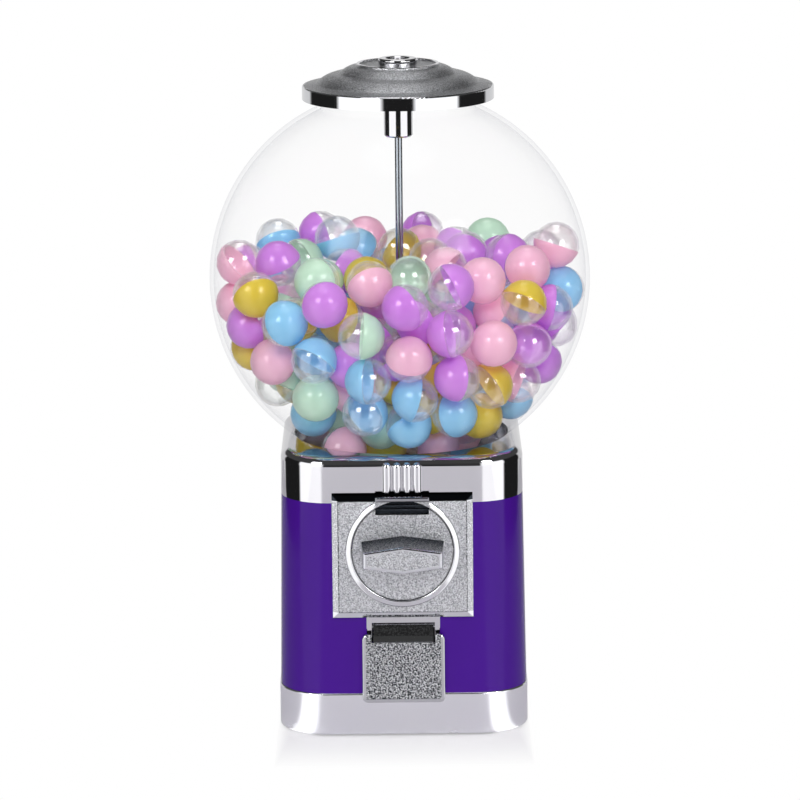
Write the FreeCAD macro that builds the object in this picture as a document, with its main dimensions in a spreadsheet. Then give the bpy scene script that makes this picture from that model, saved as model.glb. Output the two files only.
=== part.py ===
"""Table-top capsule vending machine of the gumball kind.

The model is in millimetres with +Z up. The origin lies under the middle of the base, on the floor,
and the coin plate faces -Y. Every driving size is a named cell of the sheet "dims"; sketches,
primitives and placements are bound to those cells, and each node is written to parts/ as STEP.
"""
import FreeCAD, Part
import math
import os
import random

import Sketcher
from FreeCAD import Matrix, Placement, Rotation, Vector

doc = FreeCAD.newDocument("gumball_machine")

# Driving sizes in mm, degrees or counts, by group
DRIVING = {
    # Clearances: running, between neighbours, slip fits, and bores round a shank or pin
    "run_gap": 0.08,
    "part_gap": 0.3,
    "slip": 0.2,
    # Body, base and feet
    "body_width_low": 156.0,
    "body_width_high": 152.0,
    "body_depth": 153.0,
    "body_wall": 2.2,
    "body_headroom": 0.5,
    "corner_radius": 32.0,
    "base_proud": 0.6,
    "base_top": 28.0,
    "base_floor": 3.0,
    "base_edge": 1.2,
    "spigot_height": 5.0,
    "spigot_wall": 2.0,
    "spigot_lap": 0.4,
    "foot_proud": 1.0,
    "foot_radius": 9.0,
    "foot_height": 2.4,
    "foot_inset": 24.6,
    "boss_radius": 15.0,
    "boss_top": 12.0,
    "nut_well": 10.0,
    # Collar
    "collar_height": 29.0,
    "collar_edge": 6.0,
    "collar_wall": 2.6,
    "flute_pitch": 6.3,
    "flute_radius": 3.0,
    "flute_proud": 2.0,
    "flute_rise": 0.7,
    "flute_drop": 6.4,
    "well_margin": 8.3,
    "well_gap": 0.5,
    "well_depth": 10.0,
    "ledge_width": 2.2,
    "flange_height": 2.0,
    # Globe
    "globe_radius": 120.5,
    "globe_wall": 2.5,
    "mouth_radius": 51.5,
    # Lid and lock
    "lid_gap": 5.6,
    "lid_overhang": 8.8,
    "lid_rim": 8.4,
    "lid_wall": 1.8,
    "lid_step_in": 0.3,
    "lid_first_slope": 12.6,
    "lid_second_slope": 12.9,
    "lid_first_rise": 2.2,
    "lid_mid_rise": 7.4,
    "lid_rise": 13.8,
    "lid_sink": 0.8,
    "lock_radius": 9.1,
    "lock_lip": 3.2,
    "lock_wall": 2.1,
    "lock_proud": 3.0,
    "lock_drop": 46.6,
    "lock_nut_wall": 2.9,
    "lock_nut_height": 5.0,
    # Centre rod
    "rod_radius": 2.4,
    "rod_bottom": 2.6,
    "rod_grip": 16.2,
    "rod_clear": 2.1,
    "rod_nut_flats": 8.0,
    "rod_nut_height": 4.0,
    "washer_radius": 7.0,
    "washer_height": 1.0,
    # Capsules
    "capsule_radius": 14.5,
    "capsule_wall": 1.0,
    "capsule_gap": 0.3,
    # Hopper, wheel and guard
    "hopper_gap": 0.4,
    "hopper_wall": 2.0,
    "hopper_floor_height": 3.2,
    "hopper_hole_gap": 1.5,
    "hub_radius": 8.8,
    "hub_proud": 0.9,
    "bridge_height": 6.4,
    "bridge_width": 12.0,
    "wheel_gap": 0.6,
    "wheel_head": 0.6,
    "wheel_skin": 2.2,
    "pocket_count": 4.0,
    "pocket_clear": 1.7,
    "pocket_rim": 1.5,
    "outlet_angle": 45.0,
    "outlet_clear": 0.4,
    "drop_length": 12.0,
    "guard_rise": 0.5,
    "guard_height": 1.0,
    "guard_lap": 0.9,
    "guard_half_angle": 24.0,
    "guard_lip": 8.0,
    # Gearing between knob and wheel
    "pinion_teeth": 8.0,
    "crown_gap": 2.6,
    "gear_face": 5.0,
    "shaft_radius": 2.5,
    # Coin plate, bezel and dial
    "dial_height": 121.5,
    "dial_radius": 31.4,
    "dial_gap": 0.5,
    "dial_recess": 1.2,
    "dial_proud": 1.5,
    "plate_side": 12.5,
    "plate_below": 12.2,
    "plate_above": 4.0,
    "plate_height": 5.0,
    "plate_bevel": 3.8,
    "plate_bevel_drop": 2.6,
    "bezel_width": 4.4,
    "bezel_proud": 2.8,
    "hood_width": 33.8,
    "hood_inset": 0.5,
    "hood_height": 3.0,
    "hood_proud": 4.2,
    "coin_notch_drop": 8.2,
    "coin_notch_depth": 3.8,
    "handle_length": 48.7,
    "handle_middle": 17.2,
    "handle_end": 10.2,
    "handle_proud": 25.0,
    "handle_draft": 1.4,
    "handle_edge": 1.2,
    # Mechanism behind the plate
    "carrier_step": 7.4,
    "carrier_height": 7.0,
    "ratchet_radius": 18.0,
    "ratchet_teeth": 12.0,
    "ratchet_height": 3.6,
    "screw_radius": 1.5,
    "screw_head": 2.8,
    "screw_head_height": 2.0,
    "screw_bite": 2.8,
    "screw_side": 5.6,
    "screw_low_drop": 29.5,
    "screw_middle_drop": 11.5,
    "screw_high_rise": 18.5,
    "bracket_depth": 21.0,
    "bracket_wall": 2.5,
    "bracket_side": 5.0,
    "bracket_drop": 34.5,
    "bracket_clear": 5.5,
    "bearing_length": 8.0,
    "pawl_side": 9.0,
    "pawl_drop": 17.5,
    "pawl_height": 2.8,
    "pawl_clear": 0.4,
    "nose_angle": 15.0,
    # Chute, door and flap
    "chute_clear": 3.0,
    "chute_wall": 1.8,
    "chute_drop": 40.0,
    "chute_lip": 7.4,
    "chute_hinge_gap": 11.9,
    "door_clear": 14.0,
    "door_lap": 0.6,
    "hinge_depth": 4.0,
    "hinge_drop": 7.4,
    "knuckle_radius": 2.8,
    "pin_radius": 1.5,
    "neck_side": 4.2,
    "bar_side": 2.3,
    "bar_height": 3.9,
    "flap_side": 2.95,
    "flap_drop": 3.0,
    "flap_lap": 4.9,
    "flap_height": 3.8,
    "flap_corner": 3.6,
    "flap_edge": 1.1,
    "flap_gap": 1.2,
}


class Size:
    """A number that keeps its formula, so that one expression both draws a shape and binds it."""

    def __init__(self, value, formula):
        self.value = value
        self.formula = formula

    def __add__(self, other):
        other = as_size(other)
        return Size(self.value + other.value, "(%s + %s)" % (self.formula, other.formula))

    def __sub__(self, other):
        other = as_size(other)
        return Size(self.value - other.value, "(%s - %s)" % (self.formula, other.formula))

    def __mul__(self, other):
        other = as_size(other)
        return Size(self.value * other.value, "(%s * %s)" % (self.formula, other.formula))

    def __truediv__(self, other):
        other = as_size(other)
        return Size(self.value / other.value, "(%s / %s)" % (self.formula, other.formula))

    def __radd__(self, other):
        return as_size(other) + self

    def __rsub__(self, other):
        return as_size(other) - self

    def __rmul__(self, other):
        return as_size(other) * self

    def __rtruediv__(self, other):
        return as_size(other) / self

    def __neg__(self):
        return Size(-self.value, "(0 - %s)" % self.formula)


def as_size(number):
    """Returns a plain number as a Size with itself as its formula."""
    if isinstance(number, Size):
        return number
    return Size(float(number), "%.6g" % number)


def root(size):
    """Square root of a Size."""
    return Size(math.sqrt(size.value), "sqrt(%s)" % size.formula)


def cosine(degrees):
    """Cosine of a Size given in degrees."""
    return Size(math.cos(math.radians(degrees.value)), "cos(%s * 1deg)" % degrees.formula)


def sine(degrees):
    """Sine of a Size given in degrees."""
    return Size(math.sin(math.radians(degrees.value)), "sin(%s * 1deg)" % degrees.formula)


def arc_cosine(share):
    """Angle in degrees whose cosine is a Size."""
    return Size(math.degrees(math.acos(share.value)), "(acos(%s) / 1deg)" % share.formula)


def smaller(first, second):
    """The smaller of two Sizes."""
    return Size(min(first.value, second.value), "min(%s; %s)" % (first.formula, second.formula))


class Sheet:
    """The sheet of sizes: each alias is read as an attribute and comes back as a Size."""

    def __init__(self, driving):
        self.cells = doc.addObject("Spreadsheet::Sheet", "dims")
        self.rows = 0
        for alias, value in driving.items():
            self.write(alias, "%g" % value, float(value))
        doc.recompute()

    def write(self, alias, content, value):
        """Fills the next row with a name and its content."""
        self.rows += 1
        self.cells.set("A%d" % self.rows, alias)
        self.cells.set("B%d" % self.rows, content)
        self.cells.setAlias("B%d" % self.rows, alias)
        setattr(self, alias, Size(value, "dims.%s" % alias))

    def follow(self, alias, size):
        """Adds a size that follows from others, with its formula in the cell."""
        self.write(alias, "=" + size.formula.replace("dims.", ""), size.value)


dim = Sheet(DRIVING)
nodes = {}


def bind(item, prop, size):
    """Sets a property to a Size and, if the Size comes from the sheet, keeps the formula on it."""
    size = as_size(size)
    if "." not in prop:
        setattr(item, prop, size.value)
    item.setExpression(prop, size.formula)


def keep(item, label):
    """Names an object as a node to be written out."""
    item.Label = label
    nodes[label] = item
    return item


def place(item, x=0, y=0, z=0, axis=None, angle=None):
    """Places an object by bound coordinates, turned about an axis by a bound angle in degrees."""
    if axis is not None:
        item.Placement = Placement(Vector(0, 0, 0), Rotation(Vector(*axis), as_size(angle).value))
        bind(item, "Placement.Rotation.Angle", angle)
    for name, size in (("x", x), ("y", y), ("z", z)):
        bind(item, "Placement.Base." + name, size)
    return item


def new_body(label):
    """Starts a body of its own for one node."""
    return keep(doc.addObject("PartDesign::Body", label), label)


def sketch_on(body, name, plane, offset=0):
    """Starts a sketch on a plane of the body's origin, moved along the plane's normal."""
    sketch = body.newObject("Sketcher::SketchObject", name)
    support = [item for item in body.Origin.OriginFeatures if item.Role == plane][0]
    sketch.AttachmentSupport = [(support, "")]
    sketch.MapMode = "FlatFace"
    bind(sketch, "AttachmentOffset.Base.z", offset)
    return sketch


def pin_point(sketch, geometry, point, x, y):
    """Ties a point of a sketch to bound coordinates."""
    for kind, size in (("DistanceX", as_size(x)), ("DistanceY", as_size(y))):
        index = sketch.addConstraint(Sketcher.Constraint(kind, -1, 1, geometry, point, size.value))
        sketch.setExpression("Constraints[%d]" % index, size.formula)


def arc_between(start, end, radius, turn):
    """The shorter arc of a given radius from start to end; turn is 1 anticlockwise and -1 clockwise."""
    chord = end - start
    middle = start + chord * 0.5
    rise = math.sqrt(max(radius * radius - chord.Length ** 2 / 4, 0.0))
    side = Vector(-chord.y, chord.x, 0).normalize()
    centre = middle + side * (rise * turn)
    first, last = (start, end) if turn > 0 else (end, start)
    begin = math.atan2(first.y - centre.y, first.x - centre.x)
    finish = math.atan2(last.y - centre.y, last.x - centre.x)
    circle = Part.Circle(centre, Vector(0, 0, 1), radius)
    return Part.ArcOfCircle(circle, begin, finish)


def outline(sketch, corners):
    """Draws a closed outline: corners are (x, y), or (x, y, radius, turn) to reach a corner by an arc."""
    points = [Vector(as_size(c[0]).value, as_size(c[1]).value, 0) for c in corners]
    ends = []
    for index, corner in enumerate(corners):
        start = points[index - 1]
        end = points[index]
        if len(corner) == 4:
            radius = as_size(corner[2])
            item = sketch.addGeometry(arc_between(start, end, radius.value, corner[3]))
            constraint = sketch.addConstraint(Sketcher.Constraint("Radius", item, radius.value))
            sketch.setExpression("Constraints[%d]" % constraint, radius.formula)
            ends.append((item, 1, 2) if corner[3] > 0 else (item, 2, 1))
        else:
            ends.append((sketch.addGeometry(Part.LineSegment(start, end)), 1, 2))
    for index, corner in enumerate(corners):
        item, _, finish = ends[index]
        following, begin, _ = ends[(index + 1) % len(ends)]
        sketch.addConstraint(Sketcher.Constraint("Coincident", item, finish, following, begin))
        pin_point(sketch, item, finish, corner[0], corner[1])
    return sketch


def ring_of(sketch, x, y, radius):
    """Adds a circle with bound centre and radius."""
    centre = Vector(as_size(x).value, as_size(y).value, 0)
    radius = as_size(radius)
    item = sketch.addGeometry(Part.Circle(centre, Vector(0, 0, 1), radius.value))
    pin_point(sketch, item, 3, x, y)
    index = sketch.addConstraint(Sketcher.Constraint("Radius", item, radius.value))
    sketch.setExpression("Constraints[%d]" % index, radius.formula)
    return sketch


def rectangle(sketch, left, right, low, high):
    """Draws a rectangle between bound edges."""
    return outline(sketch, [(left, low), (right, low), (right, high), (left, high)])


def soft_rectangle(sketch, half_x, half_y, radius, middle_y=0):
    """Draws a rectangle with rounded corners about (0, middle_y)."""
    corners = []
    signs = [(1, 1), (-1, 1), (-1, -1), (1, -1)]
    for step, (sx, sy) in enumerate(signs):
        flat_x = (sx * (half_x - radius), middle_y + sy * half_y)
        flat_y = (sx * half_x, middle_y + sy * (half_y - radius))
        first, last = (flat_y, flat_x) if step % 2 == 0 else (flat_x, flat_y)
        corners.append(first)
        corners.append(last + (radius, 1))
    return outline(sketch, corners)


def pad(body, sketch, length, away=False):
    """Pads a sketch along its normal, or away from it."""
    feature = body.newObject("PartDesign::Pad", sketch.Name + "_pad")
    feature.Profile = sketch
    feature.Reversed = away
    bind(feature, "Length", length)
    return feature


def pocket(body, sketch, length, along=False):
    """Cuts a sketch against its normal, or along it."""
    feature = body.newObject("PartDesign::Pocket", sketch.Name + "_pocket")
    feature.Profile = sketch
    feature.Reversed = along
    bind(feature, "Length", length)
    return feature


def revolve(body, sketch, axis="V_Axis", groove=False):
    """Turns a sketch a full round about one of its own axes, adding to the body or cutting it."""
    kind = "PartDesign::Groove" if groove else "PartDesign::Revolution"
    feature = body.newObject(kind, sketch.Name + "_turn")
    feature.Profile = sketch
    feature.ReferenceAxis = (sketch, [axis])
    feature.Angle = 360
    return feature


def dress(body, base, kind, size, wanted, second=None):
    """Fillets or chamfers the edges of a feature that pass a test."""
    doc.recompute()
    names = ["Edge%d" % (i + 1) for i, edge in enumerate(base.Shape.Edges) if wanted(edge)]
    feature = body.newObject("PartDesign::" + kind, base.Name + "_" + kind.lower())
    feature.Base = (base, names)
    if kind == "Fillet":
        bind(feature, "Radius", size)
    else:
        bind(feature, "Size", size)
    if second is not None:
        feature.ChamferType = "Two distances"
        bind(feature, "Size2", second)
    return feature


def at_level(axis, level):
    """Test for edges that lie wholly at one level of an axis."""
    slack = 0.01

    def wanted(edge):
        box = edge.BoundBox
        low = getattr(box, axis + "Min")
        high = getattr(box, axis + "Max")
        return abs(low - level.value) < slack and abs(high - level.value) < slack

    return wanted


def cylinder(name, radius, height, x=0, y=0, z=0, axis=None, angle=None):
    """A bound cylinder standing on a point, along Z or turned about an axis."""
    item = doc.addObject("Part::Cylinder", name)
    bind(item, "Radius", radius)
    bind(item, "Height", height)
    return place(item, x, y, z, axis, angle)


def block(name, low, high):
    """A bound box between two corners."""
    item = doc.addObject("Part::Box", name)
    for prop, start, end in zip(("Length", "Width", "Height"), low, high):
        bind(item, prop, as_size(end) - start)
    return place(item, *low)


def hexagon(name, flats, height, x=0, y=0, z=0):
    """A bound hexagonal prism by its width over flats."""
    item = doc.addObject("Part::Prism", name)
    item.Polygon = 6
    bind(item, "Circumradius", flats / math.sqrt(3))
    bind(item, "Height", height)
    return place(item, x, y, z)


def fuse(name, items):
    """Joins objects into one."""
    item = doc.addObject("Part::MultiFuse", name)
    item.Shapes = items
    item.Refine = True
    return item


def cut(name, base, tools):
    """Takes one or more objects away from another."""
    item = doc.addObject("Part::Cut", name)
    item.Base = base
    item.Tool = tools[0] if len(tools) == 1 else fuse(name + "_tools", tools)
    item.Refine = True
    return item


def group(name, items):
    """Holds separate solids together as one node."""
    item = doc.addObject("Part::Compound", name)
    item.Links = items
    return item


# Sizes that follow from the driving ones, from the dial outwards
dim.follow("carrier_radius", dim.dial_radius - dim.carrier_step)
dim.follow("body_top", dim.dial_height + dim.carrier_radius + dim.spigot_height + dim.body_headroom)
dim.follow("collar_top", dim.body_top + dim.collar_height)
dim.follow("ledge_top", dim.collar_top - dim.well_depth)
dim.follow("base_width", dim.body_width_low + dim.base_proud * 2)
dim.follow("base_depth", dim.body_depth + dim.base_proud * 2)
dim.follow("base_wall", dim.base_proud + dim.body_wall + dim.slip + dim.spigot_lap)
dim.follow("foot_x", dim.base_width / 2 - dim.foot_inset)
dim.follow("foot_y", dim.base_depth / 2 - dim.foot_inset)
front = dim.body_depth / 2
inner_face = front - dim.body_wall
run_gap = dim.run_gap
part_gap = dim.part_gap
base_bottom = dim.foot_proud
base_inside = base_bottom + dim.base_floor
well_top = dim.boss_top - dim.base_floor

# Coin plate round the dial, and the flutes above it
dim.follow("plate_width", (dim.dial_radius + dim.plate_side) * 2)
dim.follow("plate_bottom", dim.dial_height - dim.dial_radius - dim.plate_below)
dim.follow("plate_top", dim.dial_height + dim.dial_radius + dim.plate_above)
dim.follow("bezel_radius", dim.dial_radius + dim.bezel_width)
dim.follow("hood_top", dim.plate_top - dim.hood_inset)
dim.follow("hood_bottom", dim.hood_top - dim.hood_height)
dim.follow("coin_notch_width", dim.hood_width - dim.slip * 2)
dim.follow("screw_reach", dim.dial_radius + dim.screw_side)
dim.follow("screw_low", dim.dial_height - dim.screw_low_drop)
dim.follow("screw_middle", dim.dial_height - dim.screw_middle_drop)
dim.follow("screw_high", dim.dial_height + dim.screw_high_rise)
dim.follow("flute_bottom", dim.plate_top + dim.flute_rise)
dim.follow("flute_top", dim.collar_top - dim.flute_drop)
plate_face = front + dim.plate_height
dial_back = front + dim.dial_recess
dial_face = plate_face + dim.dial_proud

# Globe in the collar's well, and the lid, lock and rod that follow its top
dim.follow("seat_radius", smaller(dim.body_width_high, dim.body_depth) / 2 - dim.well_margin)
seat_radius = dim.seat_radius
well_radius = seat_radius + dim.well_gap
flange_top = dim.ledge_top + dim.flange_height
dim.follow("globe_centre", dim.collar_top + root(dim.globe_radius * dim.globe_radius - seat_radius * seat_radius))
dim.follow("shoulder", dim.globe_centre + root(dim.globe_radius * dim.globe_radius
                                               - dim.mouth_radius * dim.mouth_radius))
dim.follow("lid_bottom", dim.shoulder + dim.lid_gap)
dim.follow("lid_radius", dim.mouth_radius + dim.lid_overhang)
dim.follow("lid_step_radius", dim.mouth_radius - dim.lid_step_in)
dim.follow("lid_mid_radius", dim.lid_step_radius - dim.lid_first_slope)
dim.follow("lid_top_radius", dim.lid_mid_radius - dim.lid_second_slope)
dim.follow("rim_top", dim.lid_bottom + dim.lid_rim)
dim.follow("lid_top", dim.rim_top + dim.lid_rise)
dim.follow("lock_top", dim.lid_top + dim.lock_proud)
dim.follow("lock_bottom", dim.lid_top - dim.lock_drop)
dim.follow("lock_flange", dim.lock_radius + dim.lock_lip)
dim.follow("plug_radius", dim.lock_radius - dim.lock_wall)
dim.follow("lock_nut_flats", (dim.lock_radius + dim.lock_nut_wall) * 2)
dim.follow("rod_top", dim.lock_bottom + dim.rod_grip)
rim_top = dim.rim_top
step_level = rim_top + dim.lid_first_rise
mid_level = rim_top + dim.lid_mid_rise
lid_under = step_level - dim.lid_wall
lock_seat = dim.lid_top - dim.lid_sink

# Hopper in the well, the wheel in the hopper, pockets for the capsules, and the gearing under them
dim.follow("hopper_radius", well_radius - dim.ledge_width - dim.hopper_gap)
hopper_inside = dim.hopper_radius - dim.hopper_wall
dim.follow("wheel_radius", hopper_inside - dim.wheel_gap)
dim.follow("wheel_height", dim.capsule_radius * 2 + dim.wheel_head)
dim.follow("pocket_radius", dim.capsule_radius + dim.pocket_clear)
dim.follow("pocket_reach", dim.wheel_radius - dim.pocket_radius - dim.pocket_rim)
dim.follow("outlet_radius", dim.pocket_radius + dim.outlet_clear)
dim.follow("crown_pitch", dim.pocket_reach - dim.pocket_radius - dim.crown_gap - dim.gear_face / 2)
dim.follow("gear_module", dim.crown_pitch * 2 / (dim.pinion_teeth * dim.pocket_count))
dim.follow("hopper_hole", dim.crown_pitch + dim.gear_face / 2 + dim.hopper_hole_gap)
dim.follow("guard_inner", dim.pocket_reach - dim.pocket_radius + dim.guard_lap)
crown_pitch = dim.crown_pitch
pinion_pitch = dim.gear_module * dim.pinion_teeth / 2
dim.follow("pitch_level", dim.dial_height + pinion_pitch)
pitch_level = dim.pitch_level
hopper_floor = pitch_level - dim.gear_module
floor_top = hopper_floor + dim.hopper_floor_height
wheel_bottom = floor_top + part_gap
dim.follow("wheel_top", wheel_bottom + dim.wheel_height)
wheel_top = dim.wheel_top
dim.follow("hub_top", wheel_top + dim.hub_proud)
outlet_x = dim.pocket_reach * cosine(dim.outlet_angle)
outlet_y = dim.pocket_reach * sine(dim.outlet_angle)

# Mechanism behind the plate
dim.follow("bracket_rear", front - dim.bracket_depth)
dim.follow("bracket_low", dim.dial_height - dim.bracket_drop)
dim.follow("bracket_high", dim.dial_height - dim.bracket_clear)
dim.follow("bracket_width", (dim.screw_reach + dim.bracket_side) * 2)
dim.follow("pawl_reach", dim.ratchet_radius + dim.pawl_side)
carrier_back = dial_back - dim.carrier_height
ratchet_back = carrier_back - dim.ratchet_height
bracket_front = dim.bracket_rear + dim.bracket_wall
shaft_end = crown_pitch - dim.gear_face / 2 - 1.2

# Chute past the rod to the door, and the flap under the plate
dim.follow("chute_width", dim.capsule_radius * 2 + dim.chute_clear)
dim.follow("chute_turn", arc_cosine((dim.chute_width / 2 + dim.chute_wall + dim.rod_radius + dim.rod_clear)
                                    / dim.pocket_reach) - dim.outlet_angle)
dim.follow("chute_rear", hopper_floor - dim.drop_length - dim.chute_drop)
dim.follow("chute_front", dim.base_top + dim.chute_lip)
dim.follow("door_width", dim.chute_width + dim.door_clear)
dim.follow("door_top", dim.plate_bottom + dim.door_lap)
dim.follow("hinge_y", dim.hinge_depth - front)
dim.follow("hinge_z", dim.plate_bottom - dim.hinge_drop)
dim.follow("bar_top", dim.plate_bottom - dim.slip)
dim.follow("bar_bottom", dim.bar_top - dim.bar_height)
dim.follow("bar_width", dim.door_width - dim.bar_side * 2)
dim.follow("neck_width", dim.door_width - dim.neck_side * 2)
dim.follow("flap_width", dim.door_width + dim.flap_side * 2)
dim.follow("flap_top", dim.hinge_z - dim.flap_drop)
dim.follow("flap_bottom", dim.base_top - dim.flap_lap)
frame_screw_reach = dim.door_width / 2 + 5.0
flap_back = dim.base_depth / 2 + dim.flap_gap
flap_face = flap_back + dim.flap_height
doc.recompute()


def base_tray():
    """Silver tray with a spigot that the shell drops over and a boss for the centre rod."""
    half_x = dim.base_width / 2
    half_y = dim.base_depth / 2
    body = new_body("base_tray")
    outer = soft_rectangle(sketch_on(body, "tray_outline", "XY_Plane", base_bottom), half_x, half_y,
                           dim.corner_radius)
    solid = pad(body, outer, dim.base_top - base_bottom)
    low = at_level("Z", base_bottom)
    high = at_level("Z", dim.base_top)
    dress(body, solid, "Fillet", dim.base_edge, lambda edge: low(edge) or high(edge))
    hollow = soft_rectangle(sketch_on(body, "tray_hollow", "XY_Plane", dim.base_top),
                            half_x - dim.base_wall, half_y - dim.base_wall, dim.corner_radius - dim.base_wall)
    pocket(body, hollow, dim.base_top - base_inside)
    inset = dim.body_wall + dim.slip
    spigot = sketch_on(body, "tray_spigot", "XY_Plane", dim.base_top - dim.spigot_height)
    for depth in (inset, inset + dim.spigot_wall):
        soft_rectangle(spigot, dim.body_width_low / 2 - depth, front - depth, dim.corner_radius - depth)
    pad(body, spigot, dim.spigot_height * 2)
    pad(body, ring_of(sketch_on(body, "tray_boss", "XY_Plane", base_bottom), 0, 0, dim.boss_radius),
        dim.boss_top - base_bottom)
    pocket(body, ring_of(sketch_on(body, "tray_well", "XY_Plane", base_bottom), 0, 0, dim.nut_well),
           well_top - base_bottom, along=True)
    pocket(body, ring_of(sketch_on(body, "tray_bore", "XY_Plane", base_bottom), 0, 0,
                         dim.rod_radius + part_gap), dim.base_top, along=True)
    recess = sketch_on(body, "tray_foot_recess", "XY_Plane", base_bottom)
    for sx, sy in ((1, 1), (-1, 1), (-1, -1), (1, -1)):
        ring_of(recess, sx * dim.foot_x, sy * dim.foot_y, dim.foot_radius + dim.slip)
    pocket(body, recess, dim.foot_height - dim.foot_proud, along=True)


def rubber_feet():
    """Four round pads let into the underside of the tray."""
    pads = []
    for number, (sx, sy) in enumerate(((1, 1), (-1, 1), (-1, -1), (1, -1))):
        pads.append(cylinder("foot_%d" % number, dim.foot_radius, dim.foot_height,
                             sx * dim.foot_x, sy * dim.foot_y))
    keep(group("rubber_feet", pads), "rubber_feet")


def loft(body, kind, low, high):
    """Lofts straight from one sketch to another."""
    feature = body.newObject("PartDesign::" + kind, low.Name + "_loft")
    feature.Profile = low
    feature.Sections = [high]
    feature.Ruled = True
    return feature


def body_shell():
    """Painted shell, a little wider at the foot, with openings for the dial and the flap."""
    body = new_body("body_shell")
    for kind, inset in (("AdditiveLoft", as_size(0)), ("SubtractiveLoft", dim.body_wall)):
        ends = []
        for level, width in ((dim.base_top, dim.body_width_low), (dim.body_top, dim.body_width_high)):
            sketch = sketch_on(body, "shell_%s" % kind, "XY_Plane", level)
            ends.append(soft_rectangle(sketch, width / 2 - inset, front - inset, dim.corner_radius - inset))
        loft(body, kind, ends[0], ends[1])
    openings = sketch_on(body, "shell_openings", "XZ_Plane", front + 1)
    ring_of(openings, 0, dim.dial_height, dim.dial_radius + 1.6)
    rectangle(openings, dim.door_width / -2, dim.door_width / 2, dim.base_top - 1, dim.door_top)
    for side in (-1, 1):
        for level in (dim.screw_low, dim.screw_middle, dim.screw_high):
            ring_of(openings, side * dim.screw_reach, level, dim.screw_radius + 0.1)
    pocket(body, openings, dim.body_wall + 2)
    blind = sketch_on(body, "shell_frame_holes", "XZ_Plane", inner_face)
    for side in (-1, 1):
        ring_of(blind, side * frame_screw_reach, dim.hinge_z, dim.screw_radius)
    pocket(body, blind, dim.body_wall - 0.8, along=True)


def top_collar():
    """Chrome collar that caps the shell, with a well for the globe and four flutes on its front."""
    half_x = dim.body_width_high / 2
    body = doc.addObject("PartDesign::Body", "collar_body")
    outer = soft_rectangle(sketch_on(body, "collar_outline", "XY_Plane", dim.body_top), half_x, front,
                           dim.corner_radius)
    solid = pad(body, outer, dim.collar_top - dim.body_top)
    dress(body, solid, "Fillet", dim.collar_edge, at_level("Z", dim.collar_top))
    hollow = soft_rectangle(sketch_on(body, "collar_hollow", "XY_Plane", dim.body_top),
                            half_x - dim.collar_wall, front - dim.collar_wall,
                            dim.corner_radius - dim.collar_wall)
    pocket(body, hollow, dim.collar_top - dim.body_top - dim.collar_wall * 1.3, along=True)
    well_low = dim.ledge_top - dim.collar_wall
    pad(body, ring_of(sketch_on(body, "collar_well_wall", "XY_Plane", well_low), 0, 0,
                      well_radius + dim.collar_wall), dim.collar_top - 1 - well_low)
    pocket(body, ring_of(sketch_on(body, "collar_well", "XY_Plane", dim.collar_top), 0, 0, well_radius),
           dim.collar_top - dim.ledge_top)
    pocket(body, ring_of(sketch_on(body, "collar_throat", "XY_Plane", dim.collar_top), 0, 0,
                         well_radius - dim.ledge_width), dim.collar_top - dim.body_top)
    inset = dim.body_wall + dim.slip
    spigot = sketch_on(body, "collar_spigot", "XY_Plane", dim.body_top - dim.spigot_height)
    for depth in (inset, inset + dim.spigot_wall):
        soft_rectangle(spigot, half_x - depth, front - depth, dim.corner_radius - depth)
    pad(body, spigot, dim.spigot_height * 2)
    flutes = []
    flute_y = -(front + dim.flute_proud - dim.flute_radius)
    for number, step in enumerate((-1.5, -0.5, 0.5, 1.5)):
        across = step * dim.flute_pitch
        stem = cylinder("flute_stem_%d" % number, dim.flute_radius, dim.flute_top - dim.flute_bottom,
                        across, flute_y, dim.flute_bottom)
        tip = doc.addObject("Part::Sphere", "flute_tip_%d" % number)
        bind(tip, "Radius", dim.flute_radius)
        place(tip, across, flute_y, dim.flute_top)
        flutes += [stem, tip]
    keep(fuse("top_collar", [body] + flutes), "top_collar")


def globe():
    """Clear blown globe with a short neck at each end."""
    body = new_body("globe")
    inside = dim.globe_radius - dim.globe_wall
    mouth_in = dim.mouth_radius - dim.globe_wall
    seat_in = seat_radius - dim.globe_wall
    neck_top = lid_under - part_gap
    top_out = dim.shoulder
    top_in = dim.globe_centre + root(inside * inside - mouth_in * mouth_in)
    low_in = dim.globe_centre - root(inside * inside - seat_in * seat_in)
    profile = outline(sketch_on(body, "globe_profile", "XZ_Plane"), [
        (seat_radius, flange_top),
        (seat_radius, dim.collar_top),
        (dim.mouth_radius, top_out, dim.globe_radius, 1),
        (dim.mouth_radius, neck_top),
        (mouth_in, neck_top),
        (mouth_in, top_in),
        (seat_in, low_in, inside, -1),
        (seat_in, flange_top)])
    revolve(body, profile)


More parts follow.
